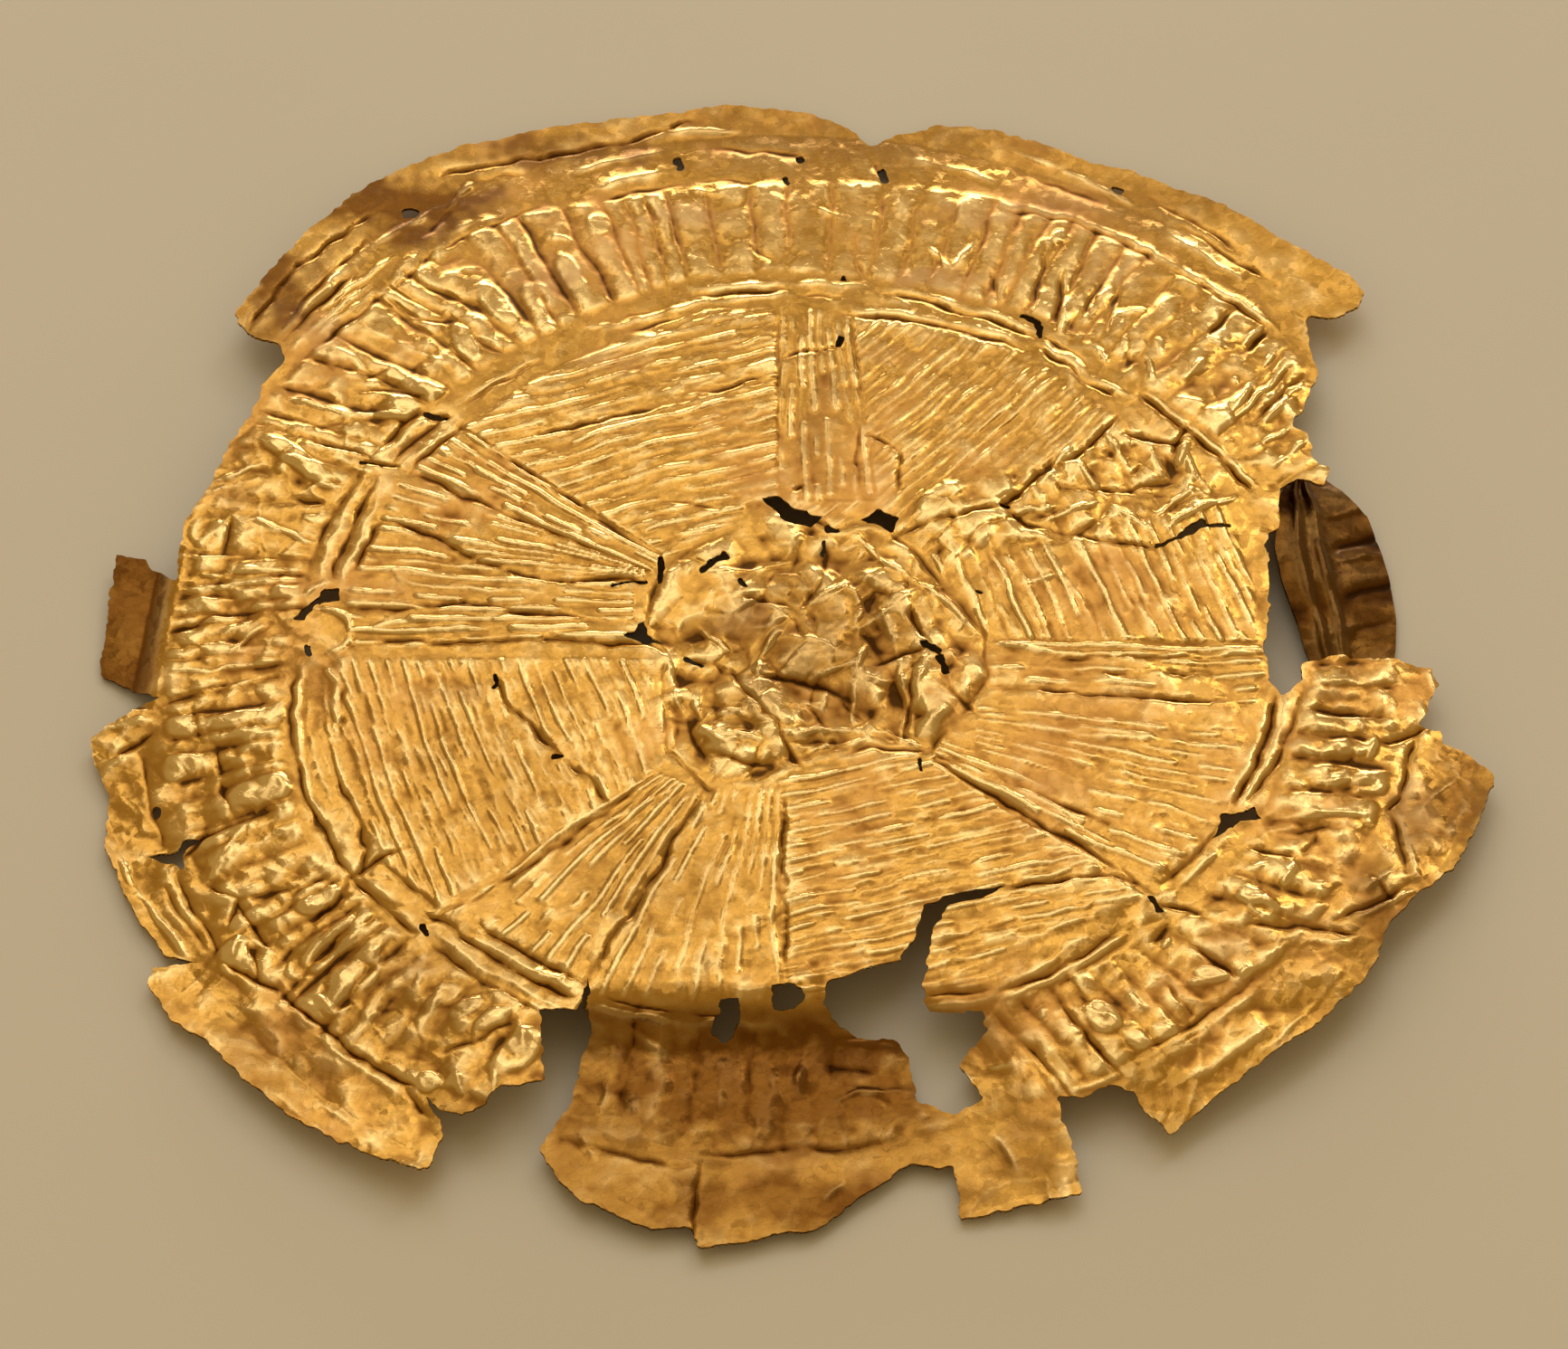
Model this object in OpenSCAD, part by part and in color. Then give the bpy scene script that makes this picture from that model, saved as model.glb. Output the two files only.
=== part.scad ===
// Round gold foil ornament: one thin sheet, hammered from behind with a core,
// eight ribbed arms, a double ring and a gadrooned border, then torn and crumpled.
// Millimetres. The disc lies flat, pattern up, and the front is towards -Y.

/* [Foil] */
// Thickness of the foil
foil_t = 0.15; // [0.12:0.01:0.2]
// Height of the crown above the surface that the disc lies on
crown_h = 3.6; // [3:0.1:4.2]
// Power of the curve from the crown down to the rim
crown_power = 2.4; // [2:0.1:3]
// Radius at which the sheet reaches the rim's own height
rim_r = 31; // [30.5:0.1:32]
// Share of its height that the torn front flap has lost
flap_sink = 0.62; // [0.4:0.02:0.7]
// How far a raised place has slid forward, per millimetre of height
slide = 0.78; // [0.6:0.02:0.8]
// Height at which a place has not slid
slide_datum = 3; // [2:0.5:4]

/* [Hammered pattern] */
// Height of the two ridges of the ring
ring_h = 0.35; // [0.1:0.05:0.4]
// Distance from the middle of the ring to each of its ridges
ring_ridge = 0.45; // [0.35:0.05:0.6]
// Distance from the middle of the ring to its outer feet
ring_foot = 1; // [0.8:0.05:1.1]
// Depth of the groove round the core
core_groove = 0.35; // [0.1:0.05:0.5]
// Half width of the groove round the core
core_groove_w = 0.6; // [0.5:0.05:0.8]
// Height of the eight arms
arm_h = 0.45; // [0.1:0.05:0.5]
// Number of gadroons round the border
gadroons = 72; // [60:4:76]
// Height of the gadroons
gadroon_h = 0.4; // [0.1:0.05:0.5]
// Depth of the crease between the gadroons and the plain rim band
crease_h = 0.3; // [0.1:0.05:0.4]

/* [Rim fragment] */
// Height of the two ridges that run along the loose rim fragment
fragment_ridge_h = 0.3; // [0.1:0.05:0.4]
// Number of strips along the fragment
fragment_rows = 14; // [10:1:20]

/* [Hidden] */

gold = "#c9983a";
dark_gold = "#5a3413";

// Torn outline of the disc, clockwise from the left corner: x, y
outline = [
    [-25.1, 20.1], [-23, 23.6], [-22, 25], [-20, 27.2], [-18, 28.8], [-15, 30.3], [-11, 31.5],
    [-6, 32.2], [-2.5, 32.9], [1, 32.4], [2.6, 31.8], [4.1, 30.4], [5.3, 31], [7, 31.6], [9.5, 31.4],
    [12, 30.5], [14.6, 29.3], [16.4, 28.8], [17.8, 27.9], [20.3, 26.8], [22, 25.4], [24, 23.8],
    [26, 22.4], [26.6, 21.4], [26.3, 20.6], [25.3, 19.8], [24, 19.9], [23.8, 19], [24.3, 16.4],
    [23.2, 13.9], [23, 13.4], [23.7, 13], [23.8, 11.3], [24.5, 10.8], [24.4, 9.8], [23, 10.3],
    [22.2, 9.7], [22.1, 7.5], [21.6, 7.2], [21.6, 3.2], [21.3, 0.4], [21.4, -1.2], [22, -2.1],
    [22.9, -1.2], [23, -0.3], [24.2, 0.2], [27.2, 0], [28.8, -0.5], [29, -1.5], [28.4, -3], [28, -3.7],
    [29, -4.1], [29, -4.8], [30.2, -5.3], [31.3, -6.5], [30.4, -9.4], [29.3, -11.6], [27.6, -12.9],
    [26.1, -14.8], [25.8, -16.2], [24.9, -17.7], [22.7, -20.1], [19.7, -22.6], [17.6, -24.7],
    [16.6, -25.7], [15.4, -24.4], [15, -23.4], [14, -23.1], [12.9, -23.8], [11.8, -23.8], [11.9, -25],
    [12.5, -26.8], [12.7, -28.9], [11, -29.4], [7.6, -30.3], [7.3, -27.6], [5.5, -27.4], [3.4, -29],
    [1.5, -30.7], [-1.8, -31.4], [-3.6, -31.7], [-3.9, -30.6], [-5.5, -30.7], [-8.5, -29.4],
    [-9.4, -28.4], [-10.4, -26.8], [-10.1, -25.8], [-9.2, -24.4], [-8.6, -21.6], [-8.2, -20.4],
    [-8.5, -19], [-8.3, -17.2], [-8.9, -19.1], [-10.5, -19.2], [-10.3, -22.8], [-12.4, -23.4],
    [-12.8, -24.2], [-13.8, -24.6], [-14.6, -24.4], [-15.4, -23.6], [-14.7, -25], [-14.6, -26],
    [-15, -27.3], [-15.6, -27.6], [-18, -26.6], [-21.2, -24.8], [-23.5, -22.6], [-25, -20.8],
    [-26.4, -19.8], [-27.6, -17.8], [-27.3, -17], [-25.5, -16.7], [-26.8, -16.3], [-28.2, -14.3],
    [-29, -12.4], [-29.8, -10.4], [-29.7, -7.6], [-30.5, -5.5], [-30.6, -4.5], [-29.6, -3.5],
    [-28.4, -2.6], [-27.5, -2.2], [-28.6, -1.9], [-30.4, -0.9], [-30.3, 1.5], [-30, 6], [-28.6, 5.7],
    [-28.3, 5.1], [-27.1, 4.5], [-27, 6.5], [-26.8, 8], [-25.9, 9.7], [-25, 12.4], [-24, 14.2],
    [-23.6, 15.8], [-22.7, 17.1], [-22.8, 18.1], [-24.4, 18.9]
];

// Tears inside the outline, each a ring of x, y points
front_gap = [[1.7, -18.7], [1.9, -17.6], [3.3, -17.1], [5, -16.4], [5.7, -15.2], [6.1, -13.6],
    [7.4, -12.9], [9.6, -12.5], [8.6, -13.2], [7.2, -13.6], [6.5, -14.8], [6, -17.6], [6.2, -19.2],
    [8.6, -19.3], [8.8, -20.3], [7.5, -22.2], [8.6, -24], [7.3, -24.8], [5.8, -24.2], [5.3, -21.6],
    [4.9, -20.8], [3.2, -20.7], [2.4, -20]];
hinge_hole_left = [[-3.1, -20.5], [-2.7, -18.5], [-1.9, -18.5], [-1.9, -19.8], [-2.4, -21]];
hinge_hole_right = [[-0.5, -17.7], [0.5, -17.7], [1, -18.4], [0.4, -19.1], [-0.5, -19.1]];
core_tear = [[-1.1, 9.2], [-0.2, 9.3], [0.5, 8.6], [1.7, 8.1], [1.3, 7.6], [0.1, 7.7], [-0.4, 8.5]];
core_tear_right = [[3.4, 7.9], [4.2, 8.5], [5.1, 8], [4.9, 7.1]];
core_hole_left = [[-7.2, 1.4], [-6.3, 2.2], [-5.2, 0.9]];
left_hole = [[-25.3, -9.7], [-26.2, -11.6], [-27.8, -11], [-26.6, -10.4]];
ring_hole_left = [[-21.8, 2.2], [-20.2, 3.8], [-19.5, 4.1], [-19.6, 3.2], [-21.2, 2.2]];
ring_hole_right = [[19.4, -8.5], [20.4, -8.1], [20.9, -8.9], [20, -9.1]];
tears = [front_gap, hinge_hole_left, hinge_hole_right, core_tear, core_tear_right, core_hole_left,
    left_hole, ring_hole_left, ring_hole_right];

// Hammered circles and the sheet's edge: angle, core radius, ring radius, crease radius, edge height
CORE = 1;
RING = 2;
CREASE = 3;
EDGE = 4;
circles = [
    [0, 8, 22, 27.4, 0.9], [15, 8.6, 22.1, 27.6, 1.2], [30, 7.9, 22.6, 29, 1.5],
    [45, 7.4, 21.6, 29.5, 1.3], [60, 8.7, 22, 29.4, 0.5], [75, 8.1, 21.4, 28.8, 0.2],
    [90, 8.3, 21.5, 28.3, 0.2], [105, 8.7, 21.3, 28.3, 0.4], [120, 7.3, 20.9, 29.2, 0.8],
    [135, 7.4, 20.9, 28.2, 1.6], [150, 6.6, 21.4, 27.9, 1.8], [165, 6.3, 20.9, 27.5, 1.6],
    [180, 5.8, 21, 27.6, 0.9], [195, 6, 21.8, 27.9, 0.3], [210, 6.9, 21.9, 28.6, 0.5],
    [225, 7.2, 21.2, 28.9, 0.9], [240, 7.8, 20.4, 27.6, 1.5], [255, 7, 19, 27.4, 1.9],
    [270, 6.2, 18.5, 26.9, 1.2], [285, 5.5, 19, 26.7, 0.5], [300, 5.6, 20.2, 26.6, 0.9],
    [315, 6.8, 20.8, 26.9, 1.6], [330, 7.9, 21.2, 27.4, 1.9], [345, 8, 22.2, 27.6, 1.3]
];

// Arms from the core to the ring: x, y, half width at the core, then the same at the ring
arms = [
    [1.8, 8.3, 1.9, 1.6, 18, 1.7],
    [5.5, 7.2, 1, 17.8, 11.5, 2.6],
    [8.6, -0.4, 1.3, 21.3, -0.8, 1.7],
    [6.3, -4.9, 0.7, 18.3, -11, 2.2],
    [-1.7, -7.1, 1.7, -4.2, -18.3, 4.2],
    [-4.2, -6.6, 1, -12.8, -16.2, 3.2],
    [-6.2, 2.6, 1.5, -20.5, 2.9, 2.2],
    [-5.7, 5.1, 0.8, -16.4, 12.8, 1.7]
];

// Height that an arm keeps between its two ribs, and at its sides, as a share of the arm's height
arm_low = 0.1;

// Folds and dents: x, y of one end, x, y of the other, reach to each side, height
folds = [
    [-14.5, 13.5, -6, 5.5, 0.9, -0.35],
    [-17.5, 11, -6, 4.9, 0.9, -0.3],
    [-11, 12.7, -0.5, 16.2, 1.2, -0.4],
    [5, 8, 9.8, 8.7, 0.9, -0.4],
    [9.8, 8.7, 15, 14, 1, -0.45],
    [9, 7.7, 16.5, 6.3, 0.9, -0.4],
    [16.5, 6.3, 21.5, 8.2, 1, -0.5],
    [15, 14.2, 20, 12, 1.2, 0.5],
    [-12.7, -1, -7, -8.5, 1, -0.3],
    [-4.2, -7.5, -8.3, -17.5, 0.9, -0.35],
    [0, -7, 0, -17.5, 0.8, -0.25],
    [6.5, -5, 16, -12.5, 0.8, -0.3],
    [10.4, -12.5, 15.8, -12.3, 1, -0.35],
    [9, -18.5, 15.5, -14.2, 1.2, 0.4],
    [-21.5, 2.2, -19.5, 4, 0.9, -0.6],
    [-27, 3, -21.5, 2.6, 0.8, -0.4],
    [-4.5, -0.2, -1.2, -1, 0.8, -0.4],
    [-1.2, -1, 3.2, -2.3, 0.8, -0.4],
    [-1.2, -1.1, -0.2, 1.8, 0.9, 0.5],
    [3.3, -3.5, 3.5, 0.6, 0.9, 0.45],
    [3.5, 0.6, 1.6, 3.2, 0.9, 0.4],
    [0.2, -4.1, 3.6, -3.8, 0.8, 0.45],
    [5.2, 4.5, 6.6, 0.6, 0.8, -0.5],
    [-3.6, 4.9, 1.8, 5.6, 0.9, -0.4],
    [-23, 20.5, -14, 28.8, 1.1, -0.4],
    [16, -18, 24, -13.5, 1.6, -0.5],
    [-9, -25.5, -4, -27, 1.2, -0.4],
    [-4, -27, 7, -25, 1.2, -0.4],
    [-3, -21, -5, -26, 1.2, 0.4],
    [1, -21, 2, -25.5, 1.3, 0.5],
    [26.7, -3, 26.4, -10, 0.9, -0.5],
    [-25, -17, -18.5, -21.8, 1.1, -0.35],
    [-30, -4.2, -27.2, -6.5, 1, 0.5],
    [-28.6, -6.5, -27.4, -13, 1, -0.5],
    [22.5, 9.8, 23.2, 12.8, 1, 0.4],
    [5, 21, 12, 18.3, 0.6, -0.25]
];
// Multiple of its reach at which a fold has run out
fold_end = 2.5;

// Torn front flap: where it begins to sink, towards the front and from each side, and how far in
// from there it has sunk all the way
flap_start_y = -18.2;
flap_run_y = 2.6;
flap_left_x = -11.5;
flap_left_run = 2;
flap_right_x = 6;
flap_right_run = 7;

// Small tab on the left that is bent down: the ends of its hinge, back and front, how far past them
// it reaches, how far it drops, the width of the bend and how much of that lies inside the hinge
tab_back = [-27.3, 5.5];
tab_front = [-28.3, -2.2];
tab_past_back = 1;
tab_past_front = 0.6;
tab_drop = 0.9;
tab_bend = 1.2;
tab_bend_inside = 0.5;

// Loose fragment of rim that lies under the right edge:
// y, x at the inner edge, x at the outer edge, height at the inner edge, height at the outer edge
fragment = [
    [10.6, 22.9, 24.2, 0.9, 0.6],
    [9.6, 22.4, 25.2, 1.2, 0.5],
    [8.2, 22.2, 26.3, 1.4, 0.4],
    [6.4, 22, 26.8, 1.5, 0.3],
    [4.4, 22.3, 27.2, 1.4, 0.2],
    [2.2, 22.9, 27.4, 1.1, 0.1],
    [0.6, 23.2, 27.3, 0.7, 0.1],
    [-0.6, 23.6, 27.1, 0.4, 0.1]
];
// Place of each ridge across the fragment, as a share of its width
fragment_ridges = [0.22, 0.42];

// Centre of the finished sheet's box, so that it stands centred on the origin
box_centre = [0.2, 2.66];
// Height of the lowest point before the disc is set down
lowest = -0.17;

// Basic functions
function clamp(t, low, high) = min(max(t, low), high);
function smooth(t) = let (s = clamp(t, 0, 1)) s * s * (3 - 2 * s);
function blend(a, b, t) = a + (b - a) * t;
function total(list) = list * [for (i = list) 1];

// Value of a column at any angle, on a smooth closed curve through the rows
step_a = 360 / len(circles);
function row_value(i, column) = circles[(i + len(circles)) % len(circles)][column];
function around(angle, column) =
    let (s = ((angle % 360) + 360) % 360 / step_a, i = floor(s), t = s - i,
         a = row_value(i - 1, column), b = row_value(i, column),
         c = row_value(i + 1, column), d = row_value(i + 2, column))
    b + t / 2 * (c - a + t * (2 * a - 5 * b + 4 * c - d + t * (3 * (b - c) + d - a)));

// Distance from a point to a line between two ends, and how far along it the nearest place is
function along(p, a, b) = clamp((p - a) * (b - a) / ((b - a) * (b - a)), 0, 1);
function line_distance(p, a, b) = norm(p - a - (b - a) * along(p, a, b));

// Signed distance to a ring of points, negative inside
function crosses(p, a, b) =
    (a.y > p.y) != (b.y > p.y) && p.x < a.x + (p.y - a.y) * (b.x - a.x) / (b.y - a.y);
function inside(p, ring) =
    len([for (i = [0 : len(ring) - 1]) if (crosses(p, ring[i], ring[(i + 1) % len(ring)])) 1]) % 2 == 1;
function ring_distance(p, ring) =
    min([for (i = [0 : len(ring) - 1]) line_distance(p, ring[i], ring[(i + 1) % len(ring)])])
    * (inside(p, ring) ? -1 : 1);

// Reach of each tear, so that only the near ones are measured
tear_middle = [for (ring = tears) [total([for (p = ring) p.x]), total([for (p = ring) p.y])] / len(ring)];
tear_reach = [for (i = [0 : len(tears) - 1]) max([for (p = tears[i]) norm(p - tear_middle[i])])];
// Distance to the torn edge from which on a place counts as being this far in
near = 2.5;
// Radius within which the outline is further away than that
whole_r = 17;

// Distance into the open: negative on the sheet, positive off its edge and in the tears
function open_distance(p) = max(concat(
    [norm(p) < whole_r ? -near : max(ring_distance(p, outline), -near)],
    [for (i = [0 : len(tears) - 1])
        if (norm(p - tear_middle[i]) < tear_reach[i] + near) -ring_distance(p, tears[i])]));

// Height of the sheet's broad form: a low dome whose rim has its own height all round,
// with the front flap sunk and the left tab turned down
function flap_share(p) =
    smooth((flap_start_y - p.y) / flap_run_y)
    * smooth((p.x - flap_left_x) / flap_left_run)
    * (1 - smooth((p.x - flap_right_x) / flap_right_run));
function hinge_x(y) = blend(tab_front.x, tab_back.x, (y - tab_front.y) / (tab_back.y - tab_front.y));
function tab_share(p) =
    p.y > tab_front.y - tab_past_front && p.y < tab_back.y + tab_past_back
        ? smooth((hinge_x(p.y) + tab_bend_inside - p.x) / tab_bend) : 0;
function broad(p) = let (
    edge = around(atan2(p.y, p.x), EDGE),
    dome = 1 - pow(min(norm(p) / rim_r, 1), crown_power),
    height = edge + (crown_h - edge) * dome)
    height * (1 - flap_sink * flap_share(p)) - tab_drop * tab_share(p);

// Relief of the arms: two ribs side by side, which run out within half an arm past its sides
function arm_relief(p) = arm_h * max([for (arm = arms) let (
    a = [arm[0], arm[1]], b = [arm[3], arm[4]],
    across = line_distance(p, a, b) / blend(arm[2], arm[5], along(p, a, b)))
    across < 1
        ? blend(arm_low, 1, (1 - cos(360 * across)) / 2)
        : arm_low * smooth(3 - 2 * across)]);
function fold_relief(p) = total([for (fold = folds)
    let (d = line_distance(p, [fold[0], fold[1]], [fold[2], fold[3]]) / fold[4])
        d < fold_end ? fold[5] * exp(-d * d) : 0]);

// Shares of the way between two circles at which stations lie in the fields, and on the gadroons
field_shares = [0.22, 0.42, 0.62, 0.8];
gadroon_shares = [0.3, 0.5, 0.7, 0.87];
// Distances of the stations outside the crease, the last beyond the torn edge
rim_offsets = [0.7, 2, 3.2, 4.5, 6.2];
// Degrees by which the gadroons lean round from the ring to the crease
gadroon_lean = -4;
// Depth of the valleys between the gadroons, as a share of their height
gadroon_valley = 0.4;

// Stations from the centre to beyond the rim: the circle that each follows, its distance from that
// circle, its share of the way to the next circle, how many sectors a cell spans, hammered height
FOLLOWS = 0;
OFFSET = 1;
SHARE = 2;
SPAN = 3;
HAMMERED = 4;
lines = concat(
    [[CORE, 0, -0.6, 8, 0], [CORE, 0, -0.25, 4, 0]],
    [[CORE, -core_groove_w, 0, 2, 0.1], [CORE, 0, 0, 2, -core_groove], [CORE, core_groove_w, 0, 2, 0]],
    [for (share = field_shares) [CORE, 0, share, 1, 0]],
    [[RING, -ring_foot, 0, 1, -ring_h / 4], [RING, -ring_ridge, 0, 1, ring_h], [RING, 0, 0, 1, -ring_h / 3],
     [RING, ring_ridge, 0, 1, ring_h], [RING, ring_foot, 0, 1, -ring_h / 4]],
    [for (share = gadroon_shares) [RING, 0, share, 1, gadroon_h]],
    [[CREASE, 0, 0, 1, -crease_h]],
    [for (offset = rim_offsets) [CREASE, offset, 0, 1, 0]]);
sectors = 2 * gadroons;
function station_r(line, angle) = let (r = around(angle, line[FOLLOWS]), share = line[SHARE])
    share < 0 ? r * (1 + share)
    : share == 0 ? r + line[OFFSET]
    : blend(r, around(angle, line[FOLLOWS] + 1), share);

// Gadroons alternate with valleys from one sector to the next, and lean round as they go outwards
function on_gadroons(line) = line[FOLLOWS] == RING && line[SHARE] > 0;
function hammered(j, i) = lines[j][HAMMERED] * (on_gadroons(lines[j]) && i % 2 == 1 ? -gadroon_valley : 1);
function lean_angle(line) = on_gadroons(line) ? gadroon_lean * line[SHARE]
    : line[FOLLOWS] == CREASE ? gadroon_lean
    : 0;

// A place on the sheet's middle surface, and the whole net of them. The hammered relief is pulled
// flat where the flap and the tab turn down.
function pulled(share) = 1 - 4 * share * (1 - share);
function place(p, relief) = let (
    h = broad(p),
    lift = (relief + arm_relief(p)) * pulled(flap_share(p)) * pulled(tab_share(p)) + fold_relief(p))
    [p.x - box_centre.x, p.y - slide * (h - slide_datum) - box_centre.y, h + lift - lowest];
function flat_point(j, i) =
    let (angle = 360 * i / sectors + lean_angle(lines[j]))
        station_r(lines[j], angle) * [cos(angle), sin(angle)];
flat_net = [for (j = [0 : len(lines) - 1]) [for (i = [0 : sectors - 1]) flat_point(j, i)]];
net = [for (j = [0 : len(lines) - 1]) [for (i = [0 : sectors - 1]) place(flat_net[j][i], hammered(j, i))]];
open = [for (j = [0 : len(lines) - 1]) [for (i = [0 : sectors - 1]) open_distance(flat_net[j][i])]];
middle = place([0, 0], 0);

// Half of the foil's thickness, square to the sheet
function turn(i) = (i + sectors) % sectors;
function unit(v) = v / norm(v);
function half_wall(j, i) = let (
    span = lines[j][SPAN], up = min(j + 1, len(lines) - 1), down = max(j - 1, 0),
    round = net[j][turn(i + span)] - net[j][turn(i - span)],
    out = net[up][i] - net[down][i])
    foil_t / 2 * unit(cross(out, round));
walls = [for (j = [0 : len(lines) - 1]) [for (i = [0 : sectors - 1]) half_wall(j, i)]];

// Points of the solid. Each node of the net gives one above and one below, and so does the place
// where the torn edge cuts the line to the next node, round the disc or outwards. A cut keeps a
// little off both nodes.
cut_limits = [0.12, 0.88];
function cut_share(a, b) = clamp(a / (a - b), cut_limits[0], cut_limits[1]);
function node_pair(j, i) = [net[j][i] + walls[j][i], net[j][i] - walls[j][i]];
function cut_pair(j, i, k, l) = let (
    a = open[j][i], b = open[k][l], t = (a < 0) == (b < 0) ? 0.5 : cut_share(a, b),
    p = node_pair(j, i), q = node_pair(k, l))
    [blend(p[0], q[0], t), blend(p[1], q[1], t)];
NODE = 0;
ROUND = 1;
OUT = 2;
function index(kind, j, i, side) = 2 * (3 * (j * sectors + turn(i)) + kind) + side;
pairs = [for (j = [0 : len(lines) - 1]) for (i = [0 : sectors - 1]) each [
    node_pair(j, i),
    cut_pair(j, i, j, turn(i + lines[j][SPAN])),
    cut_pair(j, i, min(j + 1, len(lines) - 1), i)]];
pole = 2 * len(pairs);
points = concat([for (pair = pairs) each pair],
    [middle + [0, 0, foil_t / 2], middle - [0, 0, foil_t / 2]]);

// Corners of a cell, counted round it: station and sector of each
function corners(j, i) = let (wide = lines[j][SPAN], fine = lines[j + 1][SPAN])
    concat([[j, i]], [for (k = [0 : fine : wide]) [j + 1, i + k]], [[j, i + wide]]);
// Where the torn edge cuts the side between two corners of a cell
function cut_at(a, b) = a[0] == b[0]
    ? [ROUND, a[0], min(a[1], b[1])]
    : [OUT, min(a[0], b[0]), a[1]];
// The part of a cell that lies on the sheet, as places on the net. The last entry of each says
// whether the torn edge leaves from it.
function kept(cell) = [for (k = [0 : len(cell) - 1]) let (
    a = cell[k], b = cell[(k + 1) % len(cell)],
    a_on = open[a[0]][turn(a[1])] < 0, b_on = open[b[0]][turn(b[1])] < 0)
    each concat(a_on ? [[NODE, a[0], a[1], false]] : [],
        a_on == b_on ? [] : [concat(cut_at(a, b), [a_on])])];
function at(place, side) = index(place[0], place[1], place[2], side);
function cell_faces(ring) = len(ring) < 3 ? [] : concat(
    [for (k = [1 : len(ring) - 2]) each [
        [at(ring[0], 0), at(ring[k + 1], 0), at(ring[k], 0)],
        [at(ring[0], 1), at(ring[k], 1), at(ring[k + 1], 1)]]],
    [for (k = [0 : len(ring) - 1]) if (ring[k][3]) let (a = ring[k], b = ring[(k + 1) % len(ring)]) each [
        [at(a, 0), at(b, 1), at(a, 1)],
        [at(a, 0), at(b, 0), at(b, 1)]]]);
function disc_faces() = concat(
    [for (i = [0 : lines[0][SPAN] : sectors - 1]) let (k = i + lines[0][SPAN]) each [
        [pole, index(NODE, 0, k, 0), index(NODE, 0, i, 0)],
        [pole + 1, index(NODE, 0, i, 1), index(NODE, 0, k, 1)]]],
    [for (j = [0 : len(lines) - 2]) for (i = [0 : lines[j][SPAN] : sectors - 1])
        each cell_faces(kept(corners(j, i)))]);

module foil_disc() {
    color(gold) polyhedron(points = points, faces = disc_faces(), convexity = 20);
}

// The loose fragment: rows between the table's rows, and places across it from edge to edge, with
// one on each ridge
function fragment_row(t) = let (s = t * (len(fragment) - 1), i = min(floor(s), len(fragment) - 2))
    blend(fragment[i], fragment[i + 1], s - i);
fragment_shares = [0, 0.12, fragment_ridges[0], 0.32, fragment_ridges[1], 0.52, 0.76, 1];
function is_ridge(share) = len([for (ridge = fragment_ridges) if (share == ridge) ridge]) > 0;
function fragment_place(t, share) = let (row = fragment_row(t), h = blend(row[3], row[4], share))
    [blend(row[1], row[2], share) - box_centre.x, row[0] - slide * (h - slide_datum) - box_centre.y,
     h + (is_ridge(share) ? fragment_ridge_h : 0) - lowest];
fragment_net = [for (k = [0 : fragment_rows]) [for (share = fragment_shares)
    fragment_place(k / fragment_rows, share)]];

// A sheet of even thickness with a net of points as its underside
module sheet(net, thickness) {
    rows = len(net) - 1;
    wide = len(net[0]);
    last = wide - 1;
    function above(k, m) = 2 * (k * wide + m);
    function quad(a, b, c, d) = [[a, b, c], [a, c, d]];
    function side(k, m, k2, m2) = quad(above(k, m), above(k2, m2), above(k2, m2) + 1, above(k, m) + 1);
    polyhedron(
        points = [for (row = net) for (p = row) each [p + [0, 0, thickness], p]],
        faces = concat(
            [for (k = [0 : rows - 1]) for (m = [0 : last - 1]) each concat(
                quad(above(k, m), above(k, m + 1), above(k + 1, m + 1), above(k + 1, m)),
                quad(above(k, m) + 1, above(k + 1, m) + 1, above(k + 1, m + 1) + 1, above(k, m + 1) + 1))],
            [for (k = [0 : rows - 1]) each concat(side(k + 1, last, k, last), side(k, 0, k + 1, 0))],
            [for (m = [0 : last - 1]) each concat(side(0, m + 1, 0, m), side(rows, m, rows, m + 1))]),
        convexity = 6);
}

module rim_fragment() {
    color(dark_gold) sheet(fragment_net, foil_t);
}

foil_disc();
rim_fragment();
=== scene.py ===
# %% [markdown]
# A gold foil ornament, worn on clothing and long buried. One sheet of gold, thinner than card, was
# hammered from behind with a core, eight arms, a double ring and a border of leaves. Later it was
# torn, crumpled and pressed flat again. The look of such a sheet is its relief: each small slope
# mirrors another part of the room. So this lesson works out the height of the whole sheet as one
# numpy array, cuts it along its torn outline, gives it a thickness and lights it softly.
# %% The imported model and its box
import math

import bpy
import numpy as np
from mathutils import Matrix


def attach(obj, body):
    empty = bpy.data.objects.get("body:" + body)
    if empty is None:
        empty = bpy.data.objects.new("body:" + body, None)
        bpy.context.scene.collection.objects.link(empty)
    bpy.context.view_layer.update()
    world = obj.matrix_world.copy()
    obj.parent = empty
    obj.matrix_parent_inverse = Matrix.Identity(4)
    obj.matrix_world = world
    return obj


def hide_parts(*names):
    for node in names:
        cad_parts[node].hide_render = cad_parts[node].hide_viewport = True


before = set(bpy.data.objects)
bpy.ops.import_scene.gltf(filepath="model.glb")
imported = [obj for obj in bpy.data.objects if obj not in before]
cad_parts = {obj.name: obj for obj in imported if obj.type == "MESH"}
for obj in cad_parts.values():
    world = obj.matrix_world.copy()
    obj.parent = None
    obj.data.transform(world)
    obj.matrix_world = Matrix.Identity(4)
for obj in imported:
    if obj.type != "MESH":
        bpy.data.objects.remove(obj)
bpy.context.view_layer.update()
MM = 0.001

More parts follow.
